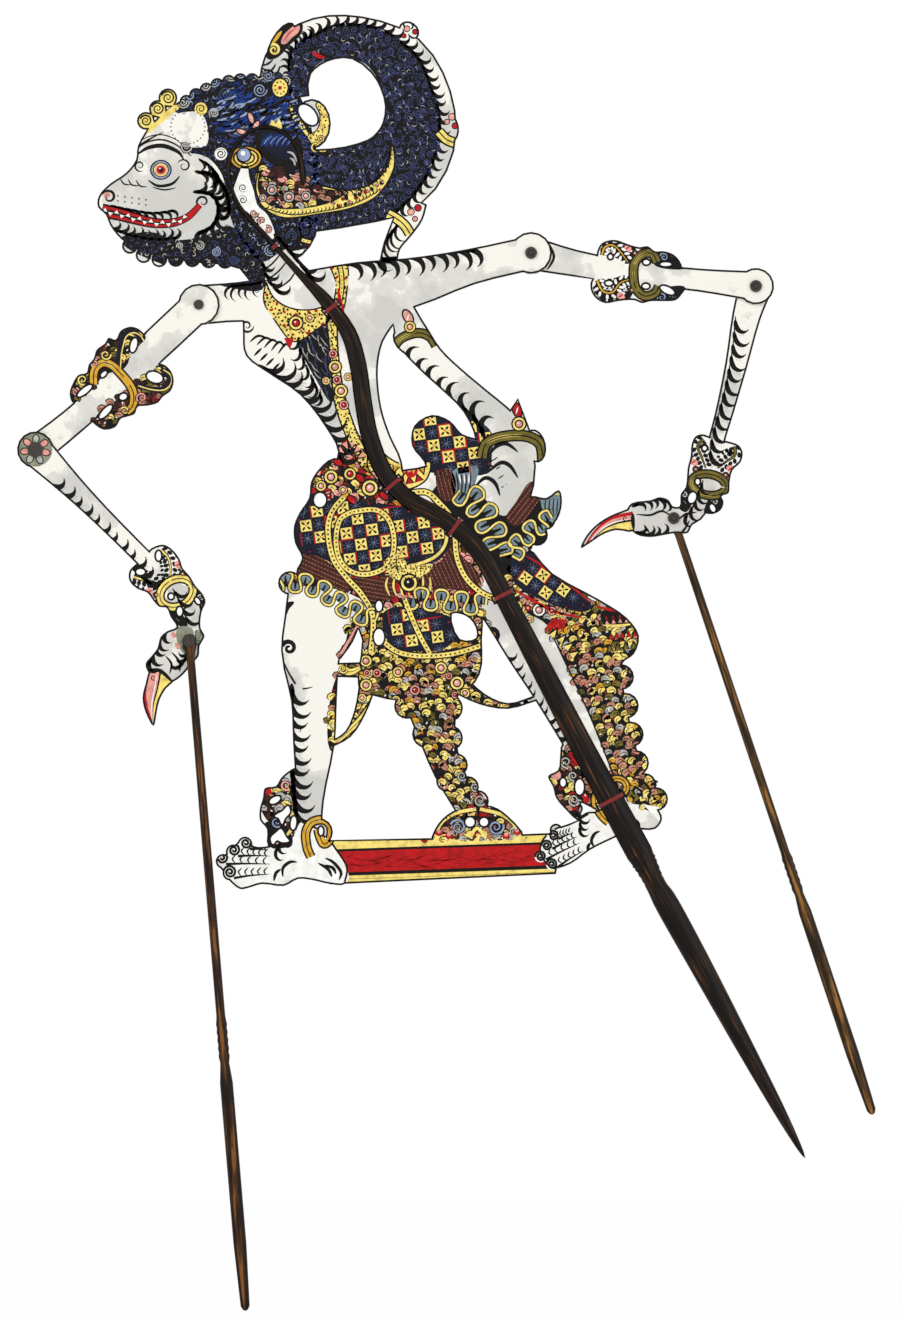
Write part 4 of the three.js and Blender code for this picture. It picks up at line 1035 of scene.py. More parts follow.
def hips():
    waist = [(338, 452), (352, 440), (366, 452), (380, 476), (400, 494), (440, 512), (470, 540), (482, 570),
             (476, 600), (452, 614), (404, 614), (372, 604), (350, 594), (330, 588), (300, 586), (278, 586),
             (270, 572), (290, 548), (290, 516), (306, 486), (320, 462)]
    scrollwork(body, waist, 8, 31, ("gold", "pink", "pink", "brown", "ochre", "red"), degrees=120)
    # The waist's gold hem, petals and roundels
    leaves(body, [(336, 452), (346, 442), (358, 446), (366, 458)], 11, 5, "pink", 3, 1)
    for x, y, r, tones in ((331, 477, 8, ("gold", "pink")), (321, 486, 6, ("gold", "pink")),
                           (329, 496, 5.6, ("pink", "red")), (370, 488, 9.5, ("gold", "pink")),
                           (350, 474, 7, ("gold", "red")), (343, 490, 5, ("pink", "gold"))):
        rosette(body, x, y, r, tones)
    for x, y in ((338, 462), (360, 478), (352, 500), (384, 496)):
        body.dot("black", x, y, 6.4, 3, 4.4, 40)
        body.dot("red", x, y, 4.8, 3.5, 2.8, 40)
    # The woven loin cloth, then its straps and gathered hem
    cloth = [(300, 500), (322, 492), (344, 498), (372, 504), (404, 506), (430, 514), (448, 526), (448, 548),
             (436, 562), (412, 570), (390, 574), (352, 576), (326, 560), (300, 556), (292, 536), (294, 514)]
    checks(body, cloth, 13, -8, (352, 526), 3)
    for degrees, shape in (
            (24, [(296, 556), (318, 556), (338, 570), (352, 580), (346, 592), (320, 580), (300, 576)]),
            (10, [(352, 578), (376, 578), (390, 576), (396, 596), (372, 602), (356, 594)]),
            (66, [(420, 566), (440, 562), (452, 544), (462, 556), (480, 576), (470, 590), (440, 588),
                  (424, 584)])):
        pleats(body, shape, degrees, 4, 3.4)
    beads(body, [(344, 497), (332, 512), (328, 531), (333, 558), (346, 577), (362, 595), (373, 617),
                 (371, 652)], 5, 4.4, 4.6)
    apron = [(352, 512), (340, 520), (336, 540), (340, 560), (352, 572), (370, 574), (388, 565), (394, 545),
             (390, 522), (376, 510)]
    beads(body, apron + apron[:1], 4.6, 4.4, 4.6)
    piped(body, "gold", [(446, 520), (446, 542), (436, 556), (418, 564), (396, 568)], 3, 2, 4.4)
    clasp = [(384, 562), (400, 554), (410, 566), (432, 564), (426, 574), (410, 580), (394, 578)]
    body.fill("gold", clasp, 5)
    speckle(body, clasp, 3.4, 1.1, 83, coat=5.6)
    rosette(body, 409, 583, 10, ("gold", "black"), 5.2)
    lines(body, "gold", [[(388 + 7 * k, 574 + abs(3 - k)), (386 + 7.4 * k, 586), (390 + 6.4 * k, 596)]
                         for k in range(7)], 2.2, 5)
    lines(body, "black", [[(390 + 5 * k, 564), (392 + 5 * k, 570)] for k in range(8)], 1.1, 5.4)
    # The left frill and the middle one
    ruffle(body, [(272, 584), (290, 582), (310, 585), (328, 594), (344, 606), (362, 615), (376, 620)], 10, 20,
           3.8)
    ruffle(body, [(406, 598), (425, 599), (445, 601), (465, 603), (486, 605)], 11, 21, 3.8)
    beads(body, [(455, 536), (457, 558), (466, 578), (482, 593), (500, 600)], 4.6, 4.4, 5.2)
    # The back bow: checks, gathers, and the cascade of folds
    belt = [(404, 404), (432, 404), (462, 412), (490, 430), (492, 452), (486, 474), (452, 474), (424, 470),
            (404, 446)]
    checks(body, belt, 13, -8, (410, 416), 1)
    bustle = [(452, 470), (468, 464), (472, 484), (486, 500), (504, 516), (526, 496), (538, 482), (548, 488),
              (566, 500), (566, 520), (548, 552), (506, 580), (488, 560), (470, 532), (444, 510), (430, 496)]
    body.fill("black", bustle, 1.5)
    zigzag = [(370, 438), (382, 452), (396, 462), (412, 466), (430, 462), (426, 480), (406, 490), (386, 486),
              (368, 468)]
    body.fill("gold", zigzag, 2.5)
    edge_line(body, zigzag, 1.6, 3)
    leaves(body, [(374, 446), (386, 460), (400, 467), (416, 468), (426, 466)], 9, 7, "ochre", 3, 1)
    leaves(body, [(374, 462), (388, 476), (406, 484), (424, 480)], 9, 6, "red", 3, -1)
    body.fill("red", [(398, 444), (410, 442), (418, 470), (409, 478), (401, 464)], 3.4)
    body.fill("pink", [(403, 450), (408, 450), (412, 468), (407, 471)], 3.9)
    body.fill("pink", [(384, 472), (395, 475), (408, 488), (398, 492), (387, 484)], 3.4)
    pleats(body, [(436, 473), (450, 470), (456, 484), (452, 500), (440, 498)], 75, 4, 2)
    pleats(body, [(506, 518), (516, 502), (530, 482), (544, 488), (534, 508), (518, 526)], -52, 4.4, 2)
    body.fill("frill", [(452, 472), (474, 466), (478, 474), (468, 498), (456, 500)], 2)
    lines(body, "black", [[(456 + 5 * k, 472), (458 + 4 * k, 484), (458 + 3 * k, 498)] for k in range(4)],
          1.6, 2.6)
    lines(body, "white", [[(459 + 5 * k, 474), (461 + 4 * k, 484)] for k in range(3)], 1.4, 2.6)
    ruffle(body, [(460, 490), (476, 503), (487, 520), (495, 538), (500, 556)], 14, 21, 3)
    ruffle(body, [(512, 556), (521, 541), (534, 529), (552, 518)], 10, 19, 3.3)
    body.fill("frill", [(542, 494), (566, 496), (560, 512), (556, 524), (544, 514)], 3)
    body.stroke("gold", [(556, 526), (562, 512), (566, 497), (548, 493)], 3, 4)
    lines(body, "black", [[(546 + 4 * k, 498), (545 + 4 * k, 508), (548 + 3 * k, 516)] for k in range(4)],
          1.4, 3.6)
    beads(body, [(398, 496), (425, 492), (440, 504), (450, 516), (456, 532)], 5, 4.6, 4.6)


def cloths():
    front = [(352, 622), (378, 606), (405, 606), (440, 602), (478, 606), (500, 650), (516, 690), (524, 716),
             (500, 740), (484, 780), (470, 816), (452, 816), (440, 784), (420, 760), (392, 748), (360, 748),
             (330, 750), (330, 700), (342, 660)]
    scrollwork(body, front, 7.8, 41)
    checks(body, [(384, 612), (410, 606), (432, 612), (452, 618), (456, 636), (440, 650), (400, 650),
                  (386, 638)], 13, -8, (388, 611), 3.4)
    beads(body, [(405, 600), (412, 618), (420, 636), (430, 654)], 4.4, 4.6, 5)
    beads(body, [(385, 643), (398, 652), (420, 656), (452, 654), (480, 646)], 4.6, 4.6, 4.6)
    roundels(body, [(366, 661, 7, "gold"), (367, 673, 4, "pink"), (366, 685, 7, "gold"),
                    (362, 698, 5, "gold"), (377, 673, 5, "pink"), (434, 656, 4.4, "pink"),
                    (441, 668, 7, "gold"), (457, 683, 8, "gold"), (449, 676, 4, "pink"),
                    (455, 695, 4, "pink"), (465, 693, 5.4, "gold"), (398, 672, 6, "gold"),
                    (415, 690, 6, "pink"), (396, 700, 5, "gold")], 3.6)
    for path, width, tone in (([(376, 700), (364, 716), (350, 730), (337, 742)], 8, "gold"),
                              ([(340, 668), (350, 672), (360, 668)], 9, "gold"),
                              ([(468, 698), (482, 706), (504, 708), (532, 702)], 8, "gold"),
                              ([(343, 655), (350, 642), (358, 626)], 8, "pink")):
        piped(body, tone, path, width, 3.4, 3.6, taper="tail")
        body.stroke("black", path, 1.2, 4.6, taper="end")
    curl(body, "gold", 343, 669, 4.4, 30, 1.4, 1.4, 5)
    for x, y, r in ((480, 800, 6), (475, 787, 4.6), (462, 776, 5)):
        curl(body, "shade", x, y, r, 40, 1.5, 1.6, 4)
    back = [(508, 560), (530, 552), (560, 572), (592, 600), (626, 606), (640, 630), (636, 660), (640, 700),
            (654, 740), (668, 790), (655, 812), (620, 792), (606, 756), (590, 716), (566, 664), (548, 626),
            (516, 604)]
    scrollwork(body, back, 7.8, 43, degrees=60)
    body.stroke("black", [(548, 626), (566, 664), (590, 716), (606, 756), (620, 792)], 1.6, 3.4, taper="none")
    field = [(512, 560), (532, 554), (560, 574), (590, 602), (584, 612), (556, 606), (530, 594), (514, 582)]
    checks(body, field, 12.5, 36, (514, 562), 3)
    for path in ([(512, 588), (532, 600), (556, 612), (584, 618)], [(526, 556), (556, 574), (590, 602)],
                 [(596, 606), (612, 610), (628, 610)]):
        body.stroke("red", path, 3, 4.4)
    roundels(body, [(517, 606, 6, "gold"), (528, 608, 3.6, "red"), (539, 610, 7.4, "white"),
                    (552, 611, 5, "pink"), (530, 619, 4.4, "gold"), (562, 611, 4.6, "gold")], 4)
    for k in range(5):
        body.stroke("red", [(545 + 4 * k, 632), (550 + 3.4 * k, 624), (556 + 2.4 * k, 618)], 3, 4)
    leaves(body, [(548, 634), (562, 644), (574, 660)], 12, 4, "gold", 4, -1)
    body.fill("black", [(602, 611), (628, 609), (632, 624), (606, 626)], 3.8)
    leaves(body, [(604, 624), (617, 622), (630, 621)], 12, 4, "red", 4, -1)
    leaves(body, [(604, 625), (617, 623), (630, 622)], 6, 4, "pink", 5, -1)
    body.stroke("gold", [(602, 625), (616, 626), (632, 624)], 3, 4)
    leaves(body, [(608, 640), (622, 638), (638, 636)], 8, 5, "red", 4, -1)
    leaves(body, [(606, 652), (622, 650), (638, 648)], 9, 4, "olive", 4, -1)


def foot(x, y, degrees, small):
    """Rolled toes with hair lines, an anklet and heel arcs, placed from the foot's middle."""
    c, s = math.cos(math.radians(degrees)), math.sin(math.radians(degrees))

    def at(a, b):
        return (x + (a * c - b * s) * small, y + (a * s + b * c) * small)

    toes = (((-36, -18), (-14, -14)), ((-48, -11), (-12, -8)), ((-60, -3), (-12, 0)), ((-52, 11), (-12, 10)))
    for (a, b), (ea, eb) in toes:
        px, py = at(a, b)
        body.dot("white", px, py, 7 * small, 4)
        swirl(body, "black", px, py, 6.6 * small, degrees + 200, 2, 0.08, 2.4, 4.4, "none")
        body.stroke("black", [at(a + 4, b + 6), at((a + ea) / 2, (b + eb) / 2 + 4), at(ea, eb + 3)], 2.8, 4.4,
                    taper="end")
        for k in range(5):
            t = 0.25 + 0.16 * k
            ma, mb = a + (ea - a) * t, b + (eb - b) * t
            body.stroke("black", [at(ma + 2, mb - 4), at(ma - 1.5, mb), at(ma + 1, mb + 4)], 1.6, 4.8)
    anklet = [at(29, -4), at(25, -14), at(24, -29), at(30, -39), at(42, -41), at(49, -34), at(48, -22),
              at(42, -17), at(38, -24), at(36, -32)]
    band(body, anklet, 6.6, "ochre", "gold", 4)
    lines(body, "black", [[at(43, -3), at(51, 1), at(59, 11), at(57, 19)], [at(43, 4), at(51, 7), at(54, 13)],
                          [at(36, 2), at(46, 8), at(50, 16)],
                          [at(1, 16), at(1, 7), at(8, 1), at(15, 1)], [at(-8, 20), at(-6, 12), at(-1, 8)]],
          3.4, 4.4)
    fur(body, [at(-2, -30), at(-1, -20), at(-8, -8)], 4, 11 * small, -1, 3.6, 4, wisps=False, line=0.3)


def feet_and_base():
    strip = [(324, 848), (558, 840), (558, 872), (324, 880)]
    body.fill("gold", [(330, 838), (566, 830), (566, 880), (330, 888)], 1.2, smooth=False)
    body.fill("black", strip, 2, smooth=False)
    red = [(326, 852), (556, 844), (556, 865), (326, 873)]
    body.fill("red", red, 2.6, smooth=False)
    dashes(body, [(344, 856), (540, 849), (540, 861), (344, 868)], 9, 30, -2, ["crimson"], 77, 0.9, 2.9)
    for a, b in (((324, 848), (558, 840)), ((324, 878), (560, 870))):
        body.stroke("gold", [a, b], 3.2, 3, taper="none", smooth=False)
    for shape in ([(302, 822), (322, 832), (338, 852), (347, 868), (344, 884), (297, 879), (243, 887),
                   (216, 861), (246, 841), (284, 846), (294, 836)],
                  [(600, 806), (655, 806), (662, 819), (634, 830), (612, 839), (590, 850), (570, 864),
                   (552, 868), (540, 850), (550, 832), (578, 820)]):
        body.fill("white", shape, 3.2)
    for edge in ([(302, 822), (322, 832), (338, 852), (347, 868), (344, 884)],
                 [(570, 864), (552, 868), (540, 850), (550, 832), (578, 820), (600, 806)]):
        body.stroke("black", edge, 2, 4.2, taper="none")
    foot(282, 861, 0, 1)
    foot(588, 836, -26, 0.86)
    scrollwork(body, [(430, 842), (432, 824), (446, 810), (462, 802), (478, 798), (498, 804), (514, 816),
                      (526, 838)], 7, 57, ("tan", "gold", "shade", "brown", "red"), 1)
    for path in ([(436, 834), (442, 822), (456, 813), (476, 809)],
                 [(480, 809), (500, 814), (512, 822), (520, 834)], [(470, 838), (477, 828), (486, 838)]):
        piped(body, "gold", path, 3.4, 2.2, 2.4, 0.3)
    for x, start in ((458, 200), (496, 340)):
        curl(body, "pale_blue", x, 827, 8, start, 1.7, 2.2, 3)
        body.dot("gold", x + 12 if x < 478 else x - 12, 834, 3.4, 3)
    for x, y in ((439, 833), (517, 832), (449, 836), (506, 836)):
        body.dot("red", x, y, 4, 3.4, 3)
        body.dot("pink", x, y - 1.6, 2, 3.8)
    # Ankle scrolls behind the front leg and on the back leg
    body.fill("black", [(264, 824), (282, 822), (292, 836), (290, 846), (270, 847)], 3.4)
    curl(body, "pink", 276, 839, 4.4, 60, 1.2, 2, 4.4)
    scrollwork(body, [(262, 786), (276, 778), (290, 784), (292, 806), (294, 836), (280, 832), (262, 812)], 8,
               47, ("brown", "tan", "gold", "brown", "shade"), coat=2)
    curl(body, "pink", 286, 785, 5.4, 60, 1.3, 2, 4)
    curl(body, "pale_blue", 277, 822, 5.4, 60, 1.4, 1.6, 4)
    piped(body, "gold", [(282, 802), (292, 814), (292, 828), (284, 838)], 4.2, 2.8, 4, taper="both")
    body.dot("red", 268, 791, 3.6, 4.4)
    scrollwork(body, [(548, 768), (562, 750), (586, 760), (600, 790), (596, 814), (568, 816), (552, 800)], 8,
               49, ("brown", "tan", "gold", "red", "shade"), coat=2)
    for x, y, r in ((566, 762, 6), (573, 776, 5), (574, 800, 6)):
        curl(body, "shade", x, y, r, 80, 1.4, 1.8, 4)
    body.dot("pink", 556, 775, 5, 4)
    body.stroke("black", [(284, 618), (287, 607), (294, 602)], 6, 3)
    curl(body, "black", 289, 648, 7.4, 200, 1.3, 5, 3, False)
    body.stroke("black", [(283, 660), (290, 675), (300, 688), (313, 687)], 2.2, 3)
    curl(body, "black", 492, 636, 7.4, 260, 1.3, 5, 3, False)
    anklet = ring(617, 787, 9.5, 8.5, 0, 18)
    band(body, anklet + anklet[:1], 5, "ochre", "gold", 4)
    lines(body, "black", [[(632, 778), (642, 781), (650, 790), (648, 799)],
                          [(634, 787), (641, 791), (642, 799)], [(630, 795), (635, 799)]], 2.6, 4.4)
    lines(body, "black", [[(486, 650), (494, 660), (506, 662)], [(300, 700), (304, 716), (300, 732)]], 1.8)


def toothed_lobe(plate, outline, spine, spots, tone="gold", core=0):
    """A carved lobe: pale ground, dark teeth on both sides of a scroll, and a few coloured spots.

    With a core, its middle is dark up to that share of the outline and the teeth are pale.
    """
    plate.fill("white", outline, 1)
    if core:
        mx, my = (sum(p[k] for p in outline) / len(outline) for k in (0, 1))
        plate.fill("black", [(mx + (x - mx) * core, my + (y - my) * core) for x, y in outline], 1.2)
    for i, ((x, y), (tx, ty)) in enumerate(walk(spine, max(round(length_of(spline(spine)) / 5), 3))):
        tilt = math.degrees(math.atan2(ty, tx))
        for side in (-1, 1):
            for out, size in ((4.2, 2.9), (8.6, 2)):
                plate.dot("white" if core else "black", x - ty * side * out, y + tx * side * out, size, 1.5,
                          size * (0.5 if core else 0.72), tilt + 55 * side + 30 * (i % 2), sides=8)
    piped(plate, tone, spine, 2, 2.4, 1.9, taper="tail")
    for i, (x, y, r) in enumerate(spots):
        if i % 2:
            rosette(plate, x, y, r, ("brown", "tan"), 2.7)
        else:
            plate.dot("pink", x, y, r, 1.8, r * 0.75, 40)
            plate.stroke("red", [(x - r * 0.6, y + r * 0.3), (x + r * 0.5, y - r * 0.4)], 1.6, 2.2)


def rolled_armlet(plate, ring_path, curl_spots, tone):
    band(plate, ring_path, 7, tone, "gold", 3.4)
    for i, (x, y, r, colour) in enumerate(curl_spots):
        curl(plate, colour, x, y, r, 70 * i, 1.4, 1.7, 4)


def nail(plate, outer, middle, inner):
    """A long curved nail: pink with a red edge, a pale ridge, and gold with short hairs on its inner side."""
    plate.fill("pink", [*outer, *middle[::-1]], 1.5, smooth=False)
    plate.fill("gold", [*middle, *inner[::-1]], 1.5, smooth=False)
    plate.stroke("red", outer, 3.6, 2, taper="tail")
    plate.stroke("white", [(x + (u - x) * 0.24, y + (v - y) * 0.24) for (x, y), (u, v) in zip(middle, outer)],
                 1.3, 2.4)
    plate.stroke("black", middle, 2, 2.8, taper="end")
    (ax, ay), (bx, by), (cx, cy) = outer[0], middle[0], inner[0]
    plate.stroke("black", [(ax, ay), (bx, by), (cx, cy)], 4, 3)
    curl(plate, "black", (ax + bx) / 2 + (outer[1][0] - ax) * 0.35, (ay + by) / 2 + (outer[1][1] - ay) * 0.35,
         2.8, 60, 1.2, 1.2, 3, False)
    for (x, y), (tx, ty) in walk(inner, 9)[:6]:
        for side in (-1, 1):
            plate.stroke("black", [(x, y), (x + ty * side * 4, y - tx * side * 4)], 1.3, 3, smooth=False)


def arms():
    upper_dark = [(146, 338), (140, 330), (131, 327), (121, 331), (116, 340), (109, 338), (105, 344),
                  (97, 350), (94, 359), (89, 365), (87, 373), (79, 375), (73, 384), (70, 394), (74, 403),
                  (82, 398), (92, 388), (97, 384), (103, 377), (108, 374), (118, 371), (124, 369), (129, 362),
                  (130, 352), (138, 347)]
    lower_dark = [(162, 364), (171, 371), (174, 381), (171, 391), (163, 397), (158, 403), (147, 406),
                  (138, 407), (135, 414), (127, 417), (121, 419), (116, 427), (105, 430), (98, 427),
                  (93, 423), (100, 412), (110, 405), (120, 398), (128, 392), (134, 383), (145, 380),
                  (152, 372)]
    for shape in (upper_dark, lower_dark):
        scrollwork(front_upper, shape, 7, len(shape), ("brown", "tan", "olive", "brown", "gold"), 1)
    rolled_armlet(front_upper, [(94, 385), (94, 374), (97, 367), (104, 363), (113, 366), (122, 375),
                                (130, 385), (134, 395), (133, 406), (127, 412)],
                  [(106, 355, 5.4, "gold"), (83, 380, 5.4, "gold"), (142, 398, 5.4, "pink"),
                   (125, 411, 4, "gold"), (76, 392, 4, "pink"), (156, 400, 3.6, "red"), (104, 343, 4, "red"),
                   (95, 364, 3.4, "pink")], "ochre")
    for path in ([(118, 372), (119, 355), (121, 345), (124, 336), (131, 332), (138, 335), (142, 341)],
                 [(136, 385), (150, 389), (162, 389), (169, 382), (168, 374), (161, 369)]):
        front_upper.stroke("navy", path, 5, 3, taper="none")
        front_upper.stroke("gold", [(x + 2.6, y + 1) for x, y in path], 1.2, 3.6, taper="none")
    # The back armlet: two toothed lobes on its left, two dark ones with pale curls on its right
    for outline, spine, spots in (
            ([(596, 254), (600, 240), (618, 236), (634, 242), (640, 250), (636, 262), (628, 267), (616, 260)],
             [(602, 255), (605, 247), (613, 245), (620, 251), (628, 262)], [(628, 248, 4), (635, 253, 3.6)]),
            ([(592, 278), (612, 276), (626, 272), (636, 276), (638, 290), (630, 304), (604, 306), (588, 292)],
             [(597, 280), (603, 291), (613, 292), (620, 283), (630, 279)],
             [(621, 296, 4.4), (632, 290, 3.8)])):
        toothed_lobe(back_upper, outline, spine, spots, "ochre", 0.8)
    for x, y, outline in (
            (664, 257, [(652, 250), (670, 248), (684, 258), (684, 269), (656, 266)]),
            (662, 297, [(650, 292), (660, 288), (684, 286), (684, 300), (666, 306), (650, 302)])):
        back_upper.fill("black", outline, 1)
        curl(back_upper, "pale_blue", x, y, 4.6, 160, 1.5, 1.5, 2, False)
        for k in range(4):
            back_upper.stroke("bare", [(x + 7 + 3 * k, y - 3 + k), (x + 8.4 + 3 * k, y + k)], 1.3, 2,
                              smooth=False)
    for x, y, tone in ((650, 247, "pink"), (641, 247, "ochre"), (643, 299, "pink"), (654, 291, "ochre")):
        back_upper.dot(tone, x, y, 4, 1.6, 2.8, 30)
    rolled_armlet(back_upper, [(657, 262), (653, 254), (645, 253), (638, 258), (634, 266), (634, 280),
                               (637, 290), (645, 296), (655, 293), (659, 286)], [], "olive")
    # Each cuff: two toothed lobes, the bare limb and its hair between them, and small scrolls below
    for plate, lobes, limb, dark, centre, radii, tilt, tone in (
            (front_fore,
             (([(146, 552), (152, 542), (172, 542), (186, 554), (194, 576), (190, 586), (170, 581),
                (166, 572), (156, 562)],
               [(161, 550), (168, 557), (171, 567), (171, 578)], [(179, 565, 4.6), (183, 574, 3.8)]),
              ([(144, 568), (134, 564), (126, 574), (132, 592), (150, 600), (164, 608), (168, 584),
                (158, 578)], [(134, 577), (144, 580), (154, 582), (163, 590)],
               [(150, 592, 4.6), (157, 595, 3.8)])),
             [(170, 580), (187, 588), (199, 604), (204, 624), (188, 628), (182, 614), (172, 598)],
             ([(196, 588), (206, 592), (209, 606), (202, 614), (199, 604)],
              [(168, 606), (178, 604), (184, 616), (188, 626), (176, 624)]), (177, 593), (17.4, 13.4), -28,
             "gold"),
            (back_fore,
             (([(709, 436), (700, 430), (688, 438), (686, 458), (684, 476), (700, 474), (710, 470),
                (709, 452)], [(704, 439), (698, 446), (702, 457), (706, 468)],
               [(694, 462, 4.6), (696, 469, 3.6)]),
              ([(727, 440), (738, 440), (746, 452), (740, 466), (730, 480), (718, 474), (712, 470),
                (720, 458)], [(735, 446), (735, 455), (727, 461), (718, 468)],
               [(731, 469, 4.8), (726, 475, 3.6)])),
             [(702, 479), (716, 480), (712, 498), (704, 512), (694, 524), (684, 526), (690, 508), (696, 494)],
             ([(686, 484), (694, 490), (692, 504), (686, 512), (678, 506), (678, 490)],
              [(712, 494), (724, 494), (726, 508), (714, 516), (704, 512)]), (709, 484.5), (17.4, 10.6), 10,
             "olive")):
        for outline, spine, spots in lobes:
            toothed_lobe(plate, outline, spine, spots, tone)
        plate.fill("bare", limb, 1.2)
        for shape in dark:
            plate.fill("black", shape, 1.4)
            x, y = (sum(p[k] for p in shape) / len(shape) for k in (0, 1))
            curl(plate, "bare", x - 1, y - 3, 3.4, 200, 1.3, 1.2, 2, False)
            plate.stroke("bare", [(x - 2, y + 3), (x + 1, y + 6)], 1.3, 2, smooth=False)
        path = ring(*centre, *radii, tilt, 24)
        band(plate, path + path[:1], 6.4, tone, "gold", 3)
        plate.fill("bare", [(x + (centre[0] - x) * 0.3, y + (centre[1] - y) * 0.3) for x, y in path[1:9]],
                   2.2)
    # Hair over the wrists and knuckles, and the folds of the palms
    fur(front_fore, [(174, 590), (180, 602), (185, 614), (189, 625)], 4, 12, -1, 4.2, 4.8, wisps=False,
        line=0.4)
    fur(front_fore, [(168, 629), (159, 640), (153, 654), (147, 667)], 5, 13, -1, 5, 3, wisps=False)
    fur(front_fore, [(192, 642), (188, 656), (178, 670)], 4, 9, 1, 4.2, 3, wisps=False)
    fur(back_fore, [(703, 482), (698, 494), (692, 508), (683, 520)], 5, 12, -1, 4, 4.8, wisps=False, line=0.4)
    fur(back_fore, [(634, 506), (644, 500), (658, 498), (672, 502)], 5, 11, 1, 4.4, 3, wisps=False)
    fur(back_fore, [(636, 532), (652, 536), (668, 534)], 4, 10, -1, 4, 3, wisps=False)
    front_fore.fill("sage", [(178, 628), (192, 628), (194, 644), (186, 654), (178, 644)], 1.5)
    for x, y in ((174, 635), (178, 646)):
        front_fore.dot("pink", x, y, 3.6, 1.9, 2.4, 60)
    palm = [(196, 630), (206, 634), (204, 646), (196, 644)]
    front_fore.fill("sage", palm, 1.6)
    speckle(front_fore, palm, 3.4, 0.9, 61, coat=2)
    lines(front_fore, "black", [[(166, 656), (172, 664), (170, 674)], [(172, 652), (180, 662), (180, 672)]],
          2.4)
    lines(back_fore, "black", [[(636, 514), (650, 515), (662, 511), (672, 516)], [(644, 525), (650, 533)],
                               [(690, 520), (684, 530), (676, 536)], [(697, 512), (686, 514), (678, 520)]],
          2.4)
    nail(front_fore, [(149, 670), (145.5, 690), (147, 706), (152.5, 722)],
         [(161, 671), (158, 688), (154, 704), (153, 721)], [(174, 683), (165, 696), (158, 708), (154, 721)])
    nail(back_fore, [(633, 513), (612, 518), (596, 530), (585, 546)],
         [(633, 520), (614, 524), (600, 532), (586, 547)], [(634, 530), (616, 532), (603, 537), (588, 546)])
    # Elbow petals and shoulder arcs
    front_fore.dot("sage", 36, 450, 17, 0.6, sides=20)
    for k in range(7):
        a = math.radians(51 * k + 120)
        px, py = 36 + 10.5 * math.cos(a), 450 + 10.5 * math.sin(a)
        front_fore.dot("black", px, py, 5.4, 1.1, 4, 51 * k + 120, sides=9)
        front_fore.dot("pink" if k % 3 else "shade", px, py, 4.2, 1.6, 2.8, 51 * k + 120, sides=9)
    front_upper.stroke("black", [(219, 288), (222, 305), (217, 322)], 2.6, 3)
    back_upper.stroke("black", [(549, 243), (554, 257), (547, 270)], 2.6, 3)
    curl(back_upper, "black", 531, 251, 9, 200, 1.1, 2, 3, False)


crest()
head()
ear_and_wing()
face()
neck_and_chest()
limbs_fur()
hips()
cloths()
feet_and_base()
arms()
for plate in plates:
    plate.outline_edges("black", 1.9, 6)
    plate.finish()


# The horn rods and the thread ties

SLIT = 2.6 * MILLIMETRE
LEAF_DEPTH = 4.8
# The leaves are shaved where the front hand's collar passes over them at all_min
SHAVED_DEPTH = 3.9
ROD_HANDLE_DEPTH = 9.4
# Along the rod from its tip: x and y on the sheet, then width and depth in millimetres
ROD_STATIONS = [
    (303, 186, 1, 2.8), (303, 178, 4, LEAF_DEPTH), (299, 152, 2.4, LEAF_DEPTH), (285, 134, 2.4, LEAF_DEPTH),
    (265, 127, 2.4, LEAF_DEPTH), (244, 136, 2.4, LEAF_DEPTH), (231, 155, 2.4, LEAF_DEPTH),
    (229, 178, 2.4, LEAF_DEPTH), (239, 206, 2.6, LEAF_DEPTH), (262, 232, 3, LEAF_DEPTH),
    (298, 272, 4.2, LEAF_DEPTH), (325, 300, 8, SHAVED_DEPTH), (348, 332, 9.6, SHAVED_DEPTH),
    (358, 365, 10.2, LEAF_DEPTH), (363, 400, 10.4, LEAF_DEPTH), (370, 437, 10.5, LEAF_DEPTH),
    (385, 474, 10.5, LEAF_DEPTH), (408, 499, 10.6, LEAF_DEPTH + 0.3), (440, 517, 10.8, LEAF_DEPTH + 0.6),
    (468, 538, 11, LEAF_DEPTH + 0.9), (487, 564, 11.2, LEAF_DEPTH + 1.2), (506, 600, 11.6, LEAF_DEPTH + 1.6),
    (532, 650, 12.6, LEAF_DEPTH + 2.2), (560, 704, 13.4, LEAF_DEPTH + 2.9),
                (588, 758, 14.4, LEAF_DEPTH + 3.6),
    (614, 806, 15.4, LEAF_DEPTH + 4.2), (640, 854, 16, ROD_HANDLE_DEPTH), (646, 865, 14.6, 9.1),
    (652, 877, 13, 8.8), (657, 887, 12.4, 8.6), (668, 906, 14.6, ROD_HANDLE_DEPTH), (700, 964, 13.6, 9.2),
    (740, 1038, 11, 8.2), (778, 1108, 7.4, 6), (799, 1147, 3.4, 3.2), (805, 1158, 0.4, 0.4),
]
SPLIT_STATION = 26
TIES = [(277, 247), (339, 304), (391, 486), (455, 525), (502, 597), (612, 800)]
TIE_INNER = 0.3 * MILLIMETRE
THREAD = 0.45 * MILLIMETRE
TIE_WIDTH = 2.6 * MILLIMETRE
ROD_SIDES = 24
ROD_STEPS = 4
TIE_STEPS = 8
SHARP_ANGLE = 40
UV_PER_METRE = 10


